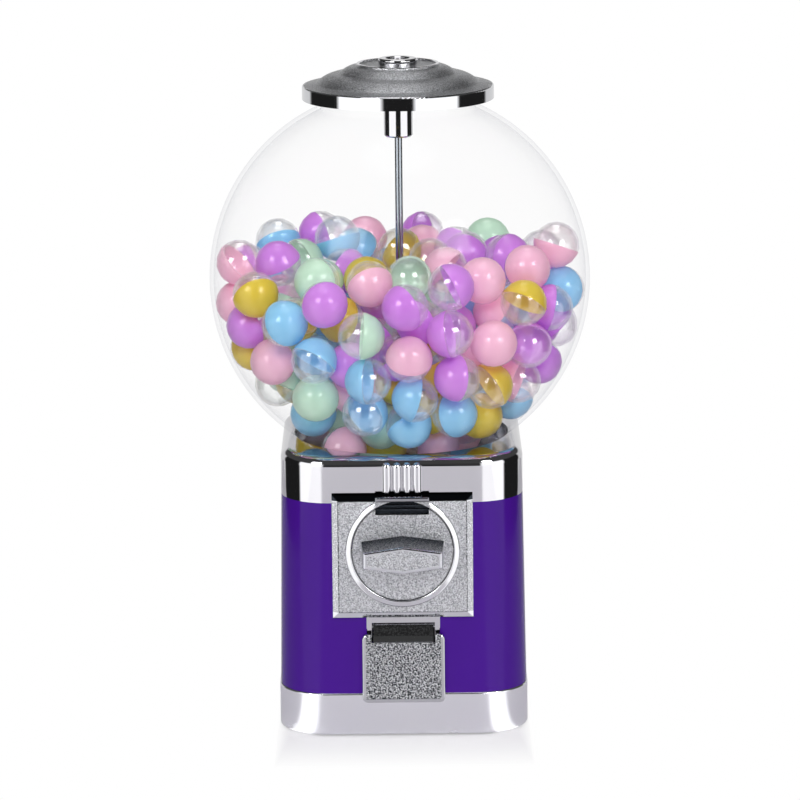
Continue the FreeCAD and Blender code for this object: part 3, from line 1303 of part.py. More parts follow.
class Pile:
    """The capsules in the globe: where each one lies and what colour it has."""

    def __init__(self):
        self.dice = random.Random(20)
        self.radius = dim.capsule_radius.value
        self.spacing = 2 * self.radius + dim.capsule_gap.value
        self.middle = dim.globe_centre.value
        self.room = dim.globe_radius.value - dim.globe_wall.value - self.radius - dim.capsule_gap.value
        self.neck_room = hopper_inside.value - self.radius - dim.capsule_gap.value
        self.floor = guard_level.value + dim.guard_height.value + self.radius + dim.capsule_gap.value
        self.rod_room = dim.rod_radius.value + self.radius + dim.capsule_gap.value
        self.places = []
        self.colours = []
        self.weights = []

    def add_seen(self):
        """Puts each seen capsule on the sight line, on the level top of the pile or against the glass."""
        for colour, marks in SEEN.items():
            for across, up in marks:
                spare = max(self.room ** 2 - across ** 2 - up ** 2, 0.0)
                reach = math.sqrt(spare)
                depth = (FILL_LEVEL - up * math.cos(VIEW_TILT)) / math.sin(VIEW_TILT)
                depth = max(-reach, min(reach, depth))
                y = up * math.sin(VIEW_TILT) - depth * math.cos(VIEW_TILT)
                z = up * math.cos(VIEW_TILT) + depth * math.sin(VIEW_TILT)
                self.add([float(across), y, self.middle + z], colour, SEEN_WEIGHT)

    def add(self, place, colour, weight):
        self.places.append(place)
        self.colours.append(colour)
        self.weights.append(weight)

    def add_fill(self):
        """Fills the rest of the globe up to the level on a staggered grid, clear of the seen capsules."""
        step = self.spacing * FILL_SPACING
        rise = step * math.sqrt(2.0 / 3.0)
        row = step * math.sqrt(3.0) / 2
        layers = int((self.middle + FILL_TOP - self.floor) / rise) + 1
        span = int(self.room / row) + 2
        seen = list(self.places)
        names = sorted(SEEN)
        for layer in range(layers):
            z = self.floor + layer * rise
            for j in range(-span, span + 1):
                for i in range(-span, span + 1):
                    x = (i + 0.5 * (j % 2) + 0.5 * (layer % 2)) * step + self.dice.uniform(-1, 1)
                    y = j * row + (layer % 2) * row / 1.5 + self.dice.uniform(-1, 1)
                    spot = [x, y, z]
                    if self.outside(spot) or math.hypot(x, y) < self.rod_room:
                        continue
                    if all(math.dist(spot, other) > 0.8 * self.spacing for other in seen):
                        self.add(spot, self.dice.choice(names), 1.0)

    def outside(self, spot):
        """True where a capsule's middle would lie outside the globe and its neck."""
        wide = math.hypot(spot[0], spot[1])
        in_ball = math.hypot(wide, spot[2] - self.middle) <= self.room
        in_neck = wide <= self.neck_room and self.floor <= spot[2] < self.middle
        return not (in_ball or in_neck)

    def hold_in(self, spot):
        """Brings one capsule back inside the globe, above the wheel and off the rod."""
        spot[2] = max(spot[2], self.floor)
        wide = math.hypot(spot[0], spot[1])
        if self.outside(spot):
            up = spot[2] - self.middle
            shrink = self.room / math.hypot(wide, up)
            over = math.hypot(wide, up) - self.room
            if spot[2] < dim.collar_top.value + self.radius and wide - self.neck_room < over:
                spot[0] *= self.neck_room / wide
                spot[1] *= self.neck_room / wide
            else:
                spot[0] *= shrink
                spot[1] *= shrink
                spot[2] = self.middle + up * shrink
                spot[2] = max(spot[2], self.floor)
        wide = math.hypot(spot[0], spot[1])
        if wide < self.rod_room:
            scale = self.rod_room / max(wide, 0.1)
            spot[0] *= scale
            spot[1] *= scale

    def neighbours(self):
        """Pairs of capsules near enough to meet within the next few passes."""
        reach = self.spacing * 1.25
        order = sorted(range(len(self.places)), key=lambda n: self.places[n][0])
        pairs = []
        for rank, first in enumerate(order):
            a = self.places[first]
            for second in order[rank + 1:]:
                b = self.places[second]
                if b[0] - a[0] > reach:
                    break
                if abs(b[1] - a[1]) < reach and abs(b[2] - a[2]) < reach:
                    pairs.append((first, second))
        return pairs

    def settle(self):
        """Sinks the capsules onto one another, then spreads them until none overlap."""
        pairs = []
        for turn in range(SETTLE_PASSES + SPREAD_PASSES):
            if turn % 10 == 0:
                pairs = self.neighbours()
            if turn < SETTLE_PASSES:
                for spot, weight in zip(self.places, self.weights):
                    spot[2] -= SINK_STEP * weight
            worst = 0.0
            for first, second in pairs:
                a = self.places[first]
                b = self.places[second]
                dx = b[0] - a[0]
                dy = b[1] - a[1]
                dz = b[2] - a[2]
                apart = math.sqrt(dx * dx + dy * dy + dz * dz)
                if apart >= self.spacing:
                    continue
                worst = max(worst, self.spacing - apart)
                total = self.weights[first] + self.weights[second]
                push = (self.spacing - apart) / max(apart, 0.01) / total
                share_a = push * self.weights[first]
                share_b = push * self.weights[second]
                a[0] -= dx * share_a
                a[1] -= dy * share_a
                a[2] -= dz * share_a
                b[0] += dx * share_b
                b[1] += dy * share_b
                b[2] += dz * share_b
            for spot in self.places:
                self.hold_in(spot)
            if turn > SETTLE_PASSES and worst < dim.capsule_gap.value * 0.2:
                break
        return worst


def capsule_shells(half_shape, spots):
    """Two compounds of half shells, cups and caps, for (place, rotation) pairs."""
    over = Rotation(Vector(1, 0, 0), 180)
    cups = []
    caps = []
    for spot, turn in spots:
        cup = half_shape.copy()
        cup.Placement = Placement(Vector(*spot), turn)
        cups.append(cup)
        cap = half_shape.copy()
        cap.Placement = Placement(Vector(*spot), turn.multiply(over))
        caps.append(cap)
    return cups, caps


def loose_node(label, shapes):
    """A node made of copies of one shape."""
    item = doc.addObject("Part::Feature", label)
    item.Shape = Part.makeCompound(shapes)
    keep(item, label)


def capsules():
    """Two-part capsules: coloured cups and clear caps, heaped in the globe and riding in the wheel."""
    half = doc.addObject("PartDesign::Body", "capsule_half")
    inside = dim.capsule_radius - dim.capsule_wall
    profile = outline(sketch_on(half, "capsule_profile", "XZ_Plane"), [
        (dim.capsule_radius, 0),
        (0, dim.capsule_radius, dim.capsule_radius, 1),
        (0, inside),
        (inside, 0, inside, -1)])
    revolve(half, profile)
    doc.recompute()
    pile = Pile()
    pile.add_seen()
    pile.add_fill()
    pile.settle()
    clear = []
    for colour in sorted(SEEN):
        spots = []
        for spot, tint in zip(pile.places, pile.colours):
            lean = Vector(pile.dice.gauss(0, 1), pile.dice.gauss(-0.8, 1), pile.dice.gauss(0.2, 1))
            if tint == colour:
                spots.append((spot, Rotation(Vector(0, 0, 1), lean)))
        cups, caps = capsule_shells(half.Shape, spots)
        loose_node("capsule_cups_" + colour, cups)
        clear += caps
    loose_node("capsule_caps", clear)
    carried = []
    count = int(dim.pocket_count.value)
    level = floor_top.value + part_gap.value + dim.capsule_radius.value
    for step in range(1, count):
        bearing = math.radians(dim.outlet_angle.value + 360.0 / count * step)
        reach = dim.pocket_reach.value
        lean = Vector(pile.dice.gauss(0, 1), pile.dice.gauss(0, 1), pile.dice.gauss(0, 1))
        carried.append(((reach * math.cos(bearing), reach * math.sin(bearing), level),
                        Rotation(Vector(0, 0, 1), lean)))
    cups, caps = capsule_shells(half.Shape, carried)
    loose_node("wheel_capsule_cups", cups)
    loose_node("wheel_capsule_caps", caps)


def write_nodes():
    """Checks every object of the document and writes each node to its STEP file."""
    doc.recompute()
    faults = [item.Name for item in doc.Objects if "Invalid" in item.State or "Error" in item.State]
    if faults:
        raise RuntimeError("objects in error: " + ", ".join(faults))
    os.makedirs("parts", exist_ok=True)
    for label, item in nodes.items():
        shape = item.Shape
        if shape.isNull() or not shape.isValid() or not shape.Solids:
            raise RuntimeError("no valid solid in " + label)
        shape.exportStep("parts/%s.step" % label)


base_tray()
rubber_feet()
body_shell()
top_collar()
globe()
lid()
lid_lock()
centre_rod()
hopper()
outlet_guard()
dispensing_wheel()
chute()
coin_plate()
dial_bezel()
dial()
knob_train()
mechanism_bracket()
ratchet_pawl()
mechanism_screws()
chute_frame()
chute_flap()
capsules()
write_nodes()
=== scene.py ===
"""Looks of a table-top capsule machine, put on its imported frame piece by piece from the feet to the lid."""

import math

import bpy
import numpy as np
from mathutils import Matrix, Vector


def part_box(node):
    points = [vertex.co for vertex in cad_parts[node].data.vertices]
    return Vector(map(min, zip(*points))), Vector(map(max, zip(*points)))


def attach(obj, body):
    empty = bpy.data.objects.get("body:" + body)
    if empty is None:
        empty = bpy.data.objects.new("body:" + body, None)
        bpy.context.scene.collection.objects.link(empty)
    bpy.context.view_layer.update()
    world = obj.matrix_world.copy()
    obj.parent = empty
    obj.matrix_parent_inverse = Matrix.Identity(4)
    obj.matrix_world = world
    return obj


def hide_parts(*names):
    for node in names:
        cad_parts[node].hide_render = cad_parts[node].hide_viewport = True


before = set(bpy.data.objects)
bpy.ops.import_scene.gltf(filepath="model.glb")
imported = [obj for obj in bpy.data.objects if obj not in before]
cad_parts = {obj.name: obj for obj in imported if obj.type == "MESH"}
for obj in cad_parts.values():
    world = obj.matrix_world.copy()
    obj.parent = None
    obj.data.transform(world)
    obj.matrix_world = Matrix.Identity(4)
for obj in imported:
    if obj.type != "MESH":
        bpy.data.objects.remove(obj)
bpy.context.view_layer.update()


# Base tray
# A deep tray with upright walls that the body shell stands in. It is moulded and plated, with a satin
# silver skin that blurs what it mirrors and is a little duller near the table.
def finish(name, **values):
    """A node material and its Principled shader; values that are the same all over go on its own sockets."""
    material = bpy.data.materials.new(name)
    material.use_nodes = True
    tree = material.node_tree
    shader = tree.nodes["Principled BSDF"]
    for label, value in values.items():
        shader.inputs[label.replace("_", " ")].default_value = value
    return material, tree, shader


def feed(tree, socket, value):
    """Links an output to a socket, or sets a plain value on it."""
    if isinstance(value, bpy.types.NodeSocket):
        tree.links.new(value, socket)
    else:
        socket.default_value = value


def add(tree, kind, settings=None, **inputs):
    """One shader node with its settings and its named inputs; returns its outputs."""
    node = tree.nodes.new("ShaderNode" + kind)
    for key, value in (settings or {}).items():
        setattr(node, key, value)
    for label, value in inputs.items():
        feed(tree, node.inputs[label.replace("_", " ")], value)
    return node.outputs


def sums(tree, operation, *terms):
    """One Math node on numbers or outputs."""
    node = tree.nodes.new("ShaderNodeMath")
    node.operation = operation
    for socket, term in zip(node.inputs, terms):
        feed(tree, socket, term)
    return node.outputs[0]


def place_of(tree):
    """The point on the piece, in metres in the machine's frame."""
    return add(tree, "TexCoord")["Object"]


def axes_of(tree, point):
    """The x, y and z of a point."""
    return add(tree, "SeparateXYZ", Vector=point)


def cloudy(tree, point, per_metre, detail=2.0, rough=0.5):
    """Noise from 0 to 1 with this many lumps to the metre."""
    return add(tree, "TexNoise", Vector=point, Scale=per_metre, Detail=detail, Roughness=rough)["Fac"]


def between(tree, value, low, high, at_low, at_high):
    """A number that runs straight from at_low to at_high as value goes from low to high."""
    outputs = add(tree, "MapRange", Value=value, From_Min=low, From_Max=high, To_Min=at_low, To_Max=at_high)
    return outputs["Result"]


def tint(tree, share, first, second):
    """A colour between two, by share."""
    ramp = tree.nodes.new("ShaderNodeValToRGB")
    ramp.color_ramp.elements[0].color = (*first, 1.0)
    ramp.color_ramp.elements[1].color = (*second, 1.0)
    feed(tree, ramp.inputs["Fac"], share)
    return ramp.outputs["Color"]


def relief(tree, height, depth, strength=1.0):
    """A bump of this depth in metres from a height between 0 and 1."""
    return add(tree, "Bump", Height=height, Distance=depth, Strength=strength)["Normal"]


def coat(tree, shader, colour, roughness, normal):
    """Feeds a shader what changes over its piece."""
    feed(tree, shader.inputs["Base Color"], colour)
    feed(tree, shader.inputs["Roughness"], roughness)
    feed(tree, shader.inputs["Normal"], normal)


def dress(material, *names):
    """Gives CAD nodes this finish."""
    for name in names:
        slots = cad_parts[name].data.materials
        slots.clear()
        slots.append(material)


dust_low, dust_high, dust_dulls = 0.001, 0.012, 0.06
satin, tree, shader = finish("satin_silver", Metallic=1.0)
point = place_of(tree)
haze = cloudy(tree, point, per_metre=38.0, detail=3.0)
dust = between(tree, axes_of(tree, point)["Z"], dust_low, dust_high, dust_dulls, 0.0)
coat(tree, shader,
     colour=tint(tree, haze, (0.80, 0.80, 0.83), (0.86, 0.86, 0.885)),
     roughness=sums(tree, "ADD", between(tree, haze, 0.3, 0.7, 0.17, 0.24), dust),
     normal=relief(tree, cloudy(tree, point, per_metre=900.0), depth=0.00001, strength=0.35))
dress(satin, "base_tray")

# Rubber feet
# Four round pads of black rubber pressed into the underside of the tray. They keep the fine grain of the
# mould they were made in.
rubber, tree, shader = finish("foot_rubber", Specular_IOR_Level=0.3)
grain = cloudy(tree, place_of(tree), per_metre=1500.0)
coat(tree, shader,
     colour=tint(tree, grain, (0.018, 0.018, 0.018), (0.04, 0.04, 0.041)),
     roughness=between(tree, grain, 0.2, 0.8, 0.75, 0.92),
     normal=relief(tree, grain, depth=0.0001, strength=0.5))
dress(rubber, "rubber_feet")

# Body shell
# A square tube of sheet with round corners and a slight taper, stove enamelled in deep violet. The enamel
# is glossy, with a faint orange peel that only the highlights show.
enamel, tree, shader = finish("violet_enamel", Specular_IOR_Level=0.13)
point = place_of(tree)
flow = cloudy(tree, point, per_metre=9.0, detail=3.0)
sheen = cloudy(tree, point, per_metre=60.0)
peel = cloudy(tree, point, per_metre=260.0, detail=1.0)
coat(tree, shader,
     colour=tint(tree, flow, (0.05, 0.006, 0.225), (0.062, 0.008, 0.258)),
     roughness=between(tree, sheen, 0.3, 0.7, 0.1, 0.14),
     normal=relief(tree, peel, depth=0.00002, strength=0.5))
dress(enamel, "body_shell")

# Chute
# A black moulded trough that leads a capsule from the outlet down to the door. Its skin has a fine grain,
# polished in patches where capsules roll.
trough, tree, shader = finish("black_moulding", Specular_IOR_Level=0.4)
point = place_of(tree)
drift = cloudy(tree, point, per_metre=45.0, detail=3.0)
speck = cloudy(tree, point, per_metre=1800.0, detail=3.0)
coat(tree, shader,
     colour=tint(tree, drift, (0.014, 0.014, 0.016), (0.03, 0.03, 0.033)),
     roughness=between(tree, drift, 0.3, 0.7, 0.42, 0.62),
     normal=relief(tree, speck, depth=0.00008, strength=0.5))
dress(trough, "chute")

# Door frame
# A plated bar across the top of the door with an ear at each side for the flap's pin. Two screws hold it
# to the shell from inside. Its mirror chrome has a slight swell and a thin uneven film.
mirror, tree, shader = finish("mirror_chrome", Metallic=1.0)
point = place_of(tree)
film = cloudy(tree, point, per_metre=30.0, detail=4.0)
swell = cloudy(tree, point, per_metre=55.0, detail=1.0)
coat(tree, shader,
     colour=tint(tree, film, (0.60, 0.595, 0.62), (0.66, 0.655, 0.68)),
     roughness=between(tree, film, 0.3, 0.75, 0.035, 0.075),
     normal=relief(tree, swell, depth=0.00004, strength=0.4))
dress(mirror, "chute_frame")


# Screws, pins and small steel
# Turned and stamped steel with a zinc plating that keeps fine tool lines: the screws, nuts and washers, the
# pins, the guard over the outlet, and the knob's shaft with its collar, ratchet, pawl and spring.
def lined(tree, across, along):
    """Noise drawn out into upright lines, with so many lumps to the metre across them and along them."""
    stretched = add(tree, "Mapping", Vector=place_of(tree), Scale=(across, across, along))["Vector"]
    return cloudy(tree, stretched, per_metre=1.0, detail=3.0)


steel, tree, shader = finish("zinc_plated_steel", Metallic=1.0)
lines = lined(tree, across=3000.0, along=120.0)
coat(tree, shader,
     colour=tint(tree, lines, (0.55, 0.56, 0.59), (0.70, 0.71, 0.73)),
     roughness=between(tree, lines, 0.3, 0.7, 0.16, 0.3),
     normal=relief(tree, lines, depth=0.00003, strength=0.3))
dress(steel, "frame_screws", "hinge_pin", "rod_nuts", "rod_washers", "outlet_guard",
      "guard_screws", "knob_shaft", "ratchet_wheel", "shaft_collar", "ratchet_pawl", "pawl_pin",
      "pawl_spring", "bracket_screws", "plate_screws", "lock_nut")

# Centre rod
# A drawn steel rod from the base to the lock, darker than the screws, with fine lines along its length
# from drawing and a thin film of oil.
drawn, tree, shader = finish("drawn_steel", Metallic=1.0)
lines = lined(tree, across=2600.0, along=40.0)
coat(tree, shader,
     colour=tint(tree, lines, (0.30, 0.33, 0.37), (0.40, 0.43, 0.47)),
     roughness=between(tree, lines, 0.3, 0.7, 0.08, 0.14),
     normal=relief(tree, lines, depth=0.00002, strength=0.3))
dress(drawn, "centre_rod")


# Flap
# A cast door over the outlet with a hammered panel inside a smooth polished border. It hangs on the pin
# by a neck that reaches back through the door, whose colour is darkened there as painted shade.
def chain(tree, operation, first, *others):
    """One Math operation carried along a row of terms."""
    for term in others:
        first = sums(tree, operation, first, term)
    return first


flap_low, flap_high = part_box("chute_flap")
border, border_blur = 0.0022, 0.0003
face_depth, neck_depth = 0.0014, 0.0040
hammered, tree, shader = finish("hammered_chrome", Metallic=1.0)
point = place_of(tree)
axes = axes_of(tree, point)
side_in = sums(tree, "SUBTRACT", flap_high.x - border, sums(tree, "ABSOLUTE", axes["X"]))
low_in = sums(tree, "SUBTRACT", axes["Z"], flap_low.z + border)
ahead = sums(tree, "SUBTRACT", flap_low.y + face_depth, axes["Y"])
panel = between(tree, chain(tree, "MINIMUM", side_in, low_in, ahead), 0.0, border_blur, 0.0, 1.0)
neck_front = flap_low.y + neck_depth
neck = between(tree, axes["Y"], neck_front, neck_front + border_blur, 0.0, 1.0)
# The dents are real; their near-black colour in the pits is painted shade.
dimple = between(tree, cloudy(tree, point, per_metre=900.0, detail=1.5), 0.39, 0.64, 0.0, 1.0)
# Painted shade: the neck that reaches back behind the door is darkened.
neck_painted_shade = between(tree, dimple, 0.0, 1.0, 0.6, 0.1)
bright = sums(tree, "MAXIMUM", dimple, sums(tree, "SUBTRACT", 1.0, panel))
bright = sums(tree, "SUBTRACT", bright, sums(tree, "MULTIPLY", neck, neck_painted_shade))
coat(tree, shader,
     colour=tint(tree, bright, (0.03, 0.034, 0.038), (0.55, 0.555, 0.57)),
     roughness=between(tree, panel, 0.0, 1.0, 0.08, 0.33),
     normal=relief(tree, sums(tree, "MULTIPLY", dimple, panel), depth=0.00025))
dress(hammered, "chute_flap")

# Mechanism bracket and coin carrier
# A die-cast yoke screwed to the back of the coin plate, which carries the far end of the knob's shaft, and
# the cast carrier on that shaft that takes the coin round. Both keep the grey skin they left the die with.
casting, tree, shader = finish("raw_casting", Metallic=1.0)
skin = cloudy(tree, place_of(tree), per_metre=240.0, detail=4.0, rough=0.6)
coat(tree, shader,
     colour=tint(tree, skin, (0.40, 0.41, 0.42), (0.56, 0.57, 0.58)),
     roughness=between(tree, skin, 0.3, 0.7, 0.38, 0.55),
     normal=relief(tree, skin, depth=0.0001, strength=0.5))
dress(casting, "mechanism_bracket", "coin_carrier")

# Dispensing wheel and drive pinion
# Off-white moulded gearing: the pinion on the knob's shaft turns the crown teeth under the wheel, whose
# deep pockets each carry one capsule to the outlet.
nylon, tree, shader = finish("moulded_white", Specular_IOR_Level=0.4, Subsurface_Weight=0.08,
                             Subsurface_Radius=(0.002, 0.002, 0.002), Subsurface_Scale=1.0)
point = place_of(tree)
drift = cloudy(tree, point, per_metre=60.0, detail=3.0)
coat(tree, shader,
     colour=tint(tree, drift, (0.62, 0.61, 0.58), (0.72, 0.715, 0.69)),
     roughness=between(tree, drift, 0.3, 0.7, 0.38, 0.5),
     normal=relief(tree, cloudy(tree, point, per_metre=1200.0), depth=0.00005, strength=0.4))
dress(nylon, "dispensing_wheel", "drive_pinion")


# Coin plate
# A square casting screwed to the shell from behind, with a sandy cast skin under the chrome. Its sloping
# border is smoother than the sunk field and has a line of painted shade at its foot; its top edge is darkened
# as painted shade, less on the hood over the coin pocket, which is nearly polished.
def sandy(tree, shader, point, share, shade=None):
    """Chrome over a sand-cast skin: fine grains that stand up where share is 1, and polish where it is 0;
    their dark hollows are painted shade. Where shade is 1, colour and mirrored edge tint are darkened as
    painted shade."""
    # The hollow colour is painted shade in the pits of the real sand grain.
    hollow, slope, crest = (0.03, 0.035, 0.043), (0.26, 0.265, 0.28), (0.68, 0.685, 0.71)
    slope_from = 0.04
    grain = cloudy(tree, point, per_metre=1150.0, rough=0.6)
    lumps = between(tree, grain, 0.36, 0.64, 0.05, 1.0)
    bright = sums(tree, "MAXIMUM", lumps, sums(tree, "SUBTRACT", 1.0, share))
    # Painted shade: darkens the colour and the edge tint of what the chrome mirrors.
    if shade is not None:
        bright = sums(tree, "SUBTRACT", bright, shade)
        feed(tree, shader.inputs["Specular Tint"], tint(tree, shade, (1.0, 1.0, 1.0), (0.1, 0.1, 0.11)))
    colour = tint(tree, bright, hollow, crest)
    colour.node.color_ramp.elements.new(slope_from).color = (*slope, 1.0)
    coat(tree, shader,
         colour=colour,
         roughness=between(tree, share, 0.0, 1.0, 0.06, 0.29),
         normal=relief(tree, sums(tree, "MULTIPLY", lumps, share), depth=0.00016))


def apart(tree, value, level):
    """How far a value is from a level, either way."""
    return sums(tree, "ABSOLUTE", sums(tree, "SUBTRACT", value, level))


plate_low, plate_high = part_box("coin_plate")
bevel, bevel_blur = 0.0038, 0.0004
side_grain = 0.45
line_half, line_shade = 0.0002, 0.6
top_blur = 0.0003
hood_depth, hood_polish, hood_shade_cut = 0.0035, 0.8, 0.23
plate_middle = (plate_low.z + plate_high.z) / 2
reach_x = plate_high.x - bevel
reach_z = (plate_high.z - plate_low.z) / 2 - bevel
top_start = plate_high.z - bevel
plate_finish, tree, shader = finish("sandy_plate", Metallic=1.0)
point = place_of(tree)
axes = axes_of(tree, point)
across = sums(tree, "SUBTRACT", reach_x, sums(tree, "ABSOLUTE", axes["X"]))
upright = sums(tree, "SUBTRACT", reach_z, apart(tree, axes["Z"], plate_middle))
sides = between(tree, across, 0.0, bevel_blur, side_grain, 1.0)
field = between(tree, upright, 0.0, bevel_blur, 0.0, sides)
off_line = sums(tree, "ABSOLUTE", sums(tree, "MINIMUM", across, upright))
# Painted shade: a thin dark line in the crease at the foot of the sloping border.
foot_line_shade = between(tree, off_line, line_half, bevel_blur, line_shade, 0.0)
hood = sums(tree, "LESS_THAN", axes["Y"], plate_low.y + hood_depth)
# Painted shade: the plate's top edge is darkened, less on the hood.
top_edge_shade = between(tree, axes["Z"], top_start, top_start + top_blur, 0.0, 1.0)
top_edge_shade = sums(tree, "SUBTRACT", top_edge_shade, sums(tree, "MULTIPLY", hood, hood_shade_cut))
grainy = sums(tree, "SUBTRACT", field, sums(tree, "MULTIPLY", hood, hood_polish))
sandy(tree, shader, point, sums(tree, "MAXIMUM", grainy, 0.0), sums(tree, "MAXIMUM", foot_line_shade, top_edge_shade))
dress(plate_finish, "coin_plate")

# Dial
# The round casting that the coin turns: a sandy face, a bar handle with a sunk sandy panel on its end, and
# a coin pocket with two rails at the top, darkened as painted shade. The handle's upper side has painted
# shade that deepens from its tip to the face.
dial_low, dial_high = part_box("dial")
dial_level = (dial_low.z + dial_high.z) / 2
handle_length, handle_half, handle_slope = 0.025, 0.0086, 0.1437
rim_depth, rim_blur = 0.0013, 0.0002
panel_depth, panel_slack = 0.0004, 0.00005
tip_shade, root_shade = 0.36, 0.8
handle_blur = 0.0004
pocket_start, pocket_full = 0.0005, 0.0009
face_start, face_full = 0.0008, 0.0002
rim_back = dial_low.y + rim_depth
face_level = dial_low.y + handle_length
dial_finish, tree, shader = finish("sandy_dial", Metallic=1.0)
point = place_of(tree)
axes = axes_of(tree, point)
behind_rim = between(tree, axes["Y"], rim_back - rim_blur, rim_back + rim_blur, 0.0, 1.0)
on_panel = sums(tree, "LESS_THAN", apart(tree, axes["Y"], dial_low.y + panel_depth), panel_slack)
# Painted shade in the coin pocket's recess.
pocket_shade = between(tree, axes["Y"], face_level + pocket_start, face_level + pocket_full, 0.0, 1.0)
handle_rise = sums(tree, "ADD", sums(tree, "SUBTRACT", axes["Z"], dial_level),
                   sums(tree, "MULTIPLY", sums(tree, "ABSOLUTE", axes["X"]), handle_slope))
# Painted shade on the handle's upper side, deeper at its root by the face than at its tip.
handle_painted_shade = between(tree, axes["Y"], rim_back, face_level, tip_shade, root_shade)
on_top_shade = between(tree, handle_rise, handle_half - handle_blur, handle_half, 0.0, handle_painted_shade)
off_face = between(tree, axes["Y"], face_level - face_start, face_level - face_full, 1.0, 0.0)
handle_top_shade = chain(tree, "MULTIPLY", on_top_shade, off_face, behind_rim)
sandy(tree, shader, point, sums(tree, "MAXIMUM", behind_rim, on_panel),
      sums(tree, "MAXIMUM", pocket_shade, handle_top_shade))
dress(dial_finish, "dial")


# Dial bezel
# A polished chrome ring that frames the dial, set on the face of the coin plate. It falls away to its outer
# edge and is open at the top where the coin goes in.
def length_of(tree, first, second):
    """The distance that goes so far one way and so far square to it."""
    flat = add(tree, "CombineXYZ", X=first, Y=second)["Vector"]
    return add(tree, "VectorMath", {"operation": "LENGTH"}, Vector=flat)["Value"]


ring_inner, ring_outer = dial_high.x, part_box("dial_bezel")[1].x
ring_fall = 0.36
ring_finish, tree, shader = finish("polished_ring", Metallic=1.0)
point = place_of(tree)
axes = axes_of(tree, point)
film = cloudy(tree, point, per_metre=30.0, detail=4.0)
away = length_of(tree, axes["X"], sums(tree, "SUBTRACT", axes["Z"], dial_level))
slope = between(tree, away, ring_inner, ring_outer, 1.0, 0.0)
coat(tree, shader,
     colour=tint(tree, film, (0.66, 0.66, 0.68), (0.72, 0.72, 0.74)),
     roughness=between(tree, film, 0.3, 0.75, 0.05, 0.09),
     normal=relief(tree, slope, depth=(ring_outer - ring_inner) * ring_fall))
dress(ring_finish, "dial_bezel")

# Top collar and hopper
# A plated cap over the top of the shell, mirror bright, with four flutes down its front and a round well
# that the globe stands in. The funnel inside the globe's foot has the satin plating of the base.
dress(mirror, "top_collar")
dress(satin, "hopper")


# Globe
# A blown ball of clear plastic with a short neck at the top for the lid and one at the bottom that drops
# into the collar's well. The wall is about two millimetres thick and shows mostly at its edges.
def blend_of(tree, share, first, second):
    """One Mix Shader: the first at 0, the second at 1."""
    mix = tree.nodes.new("ShaderNodeMixShader")
    for socket, value in zip(mix.inputs, (share, first, second)):
        feed(tree, socket, value)
    return mix.outputs[0]


def seen_plainly(tree):
    """1 for what is seen straight or through something clear, and 0 for what lights or is mirrored."""
    rays = add(tree, "LightPath")
    return sums(tree, "MAXIMUM", rays["Is Camera Ray"], rays["Is Transmission Ray"])


def show(tree, surface):
    """Makes this the surface of the material."""
    feed(tree, tree.nodes["Material Output"].inputs["Surface"], surface)


plastic_ior = 1.49
edge_power = 5.0
bright_white = (1.0, 1.0, 1.0, 1.0)
clear, tree, shader = finish("clear_globe", Roughness=0.02, IOR=plastic_ior, Coat_Weight=0.5)
wave = cloudy(tree, place_of(tree), per_metre=14.0, detail=1.0)
feed(tree, shader.inputs["Base Color"], tint(tree, wave, (0.90, 0.91, 0.92), (0.96, 0.965, 0.97)))
edge = sums(tree, "POWER", add(tree, "LayerWeight", Blend=0.5)["Facing"], edge_power)
wall_tint = tint(tree, edge, (0.998, 0.998, 0.998), (0.93, 0.932, 0.942))
film = add(tree, "BsdfTransparent", Color=wall_tint)["BSDF"]
gloss = add(tree, "BsdfGlossy", Roughness=0.02, Color=bright_white)["BSDF"]
skin = blend_of(tree, between(tree, edge, 0.0, 1.0, 0.0, 0.16), film, shader.outputs[0])
skin = blend_of(tree, between(tree, edge, 0.0, 1.0, 0.006, 0.05), skin, gloss)
show(tree, blend_of(tree, seen_plainly(tree), film, skin))
dress(clear, "globe")

# Capsules
# Two-part vending capsules: a coloured cup and a clear cap of thin glossy plastic, snapped together at a
# raised band round the middle. They lie loose in the globe, and some ride in the wheel's pockets.
capsule_radius = 0.0145
capsule_wall = 0.001
band_proud = 0.0001
band_height = 0.0017
parting = 0.00006
capsule_sides = 20
sharp_from = math.radians(40.0)
flat_rim = 0.999


def half_shells(node):
    """Where each half shell of a CAD node lies: the middle of its flat rim, and the way from there to its
    crown. Points that triangles join share a label, and the faces whose triangles all point one way are
    rims."""
    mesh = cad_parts[node].data
    flat = np.empty(len(mesh.vertices) * 3, dtype=np.float32)
    mesh.vertices.foreach_get("co", flat)
    corners = np.empty(len(mesh.loops), dtype=np.int32)
    mesh.loops.foreach_get("vertex_index", corners)
    points, corners = flat.reshape(-1, 3).astype(float), corners.reshape(-1, 3)
    label, lowest = None, np.arange(len(points))
    while label is None or (lowest != label).any():
        label, lowest = lowest, lowest.copy()
        np.minimum.at(lowest, corners, label[corners].min(axis=1)[:, None])
        lowest = lowest[lowest]
    first, second, third = points[corners].transpose(1, 0, 2)
    normal = np.cross(second - first, third - first)
    area = np.linalg.norm(normal, axis=1)
    group = np.unique(label[corners[:, 0]], return_inverse=True)[1]
    total = np.bincount(group, area)
    facing = np.stack([np.bincount(group, part) for part in normal.T], axis=1) / total[:, None]
    middle = np.stack([np.bincount(group, part * area) for part in (first + second + third).T / 3], axis=1)
    rims = np.linalg.norm(facing, axis=1) > flat_rim
    return middle[rims] / total[rims, None], -facing[rims]


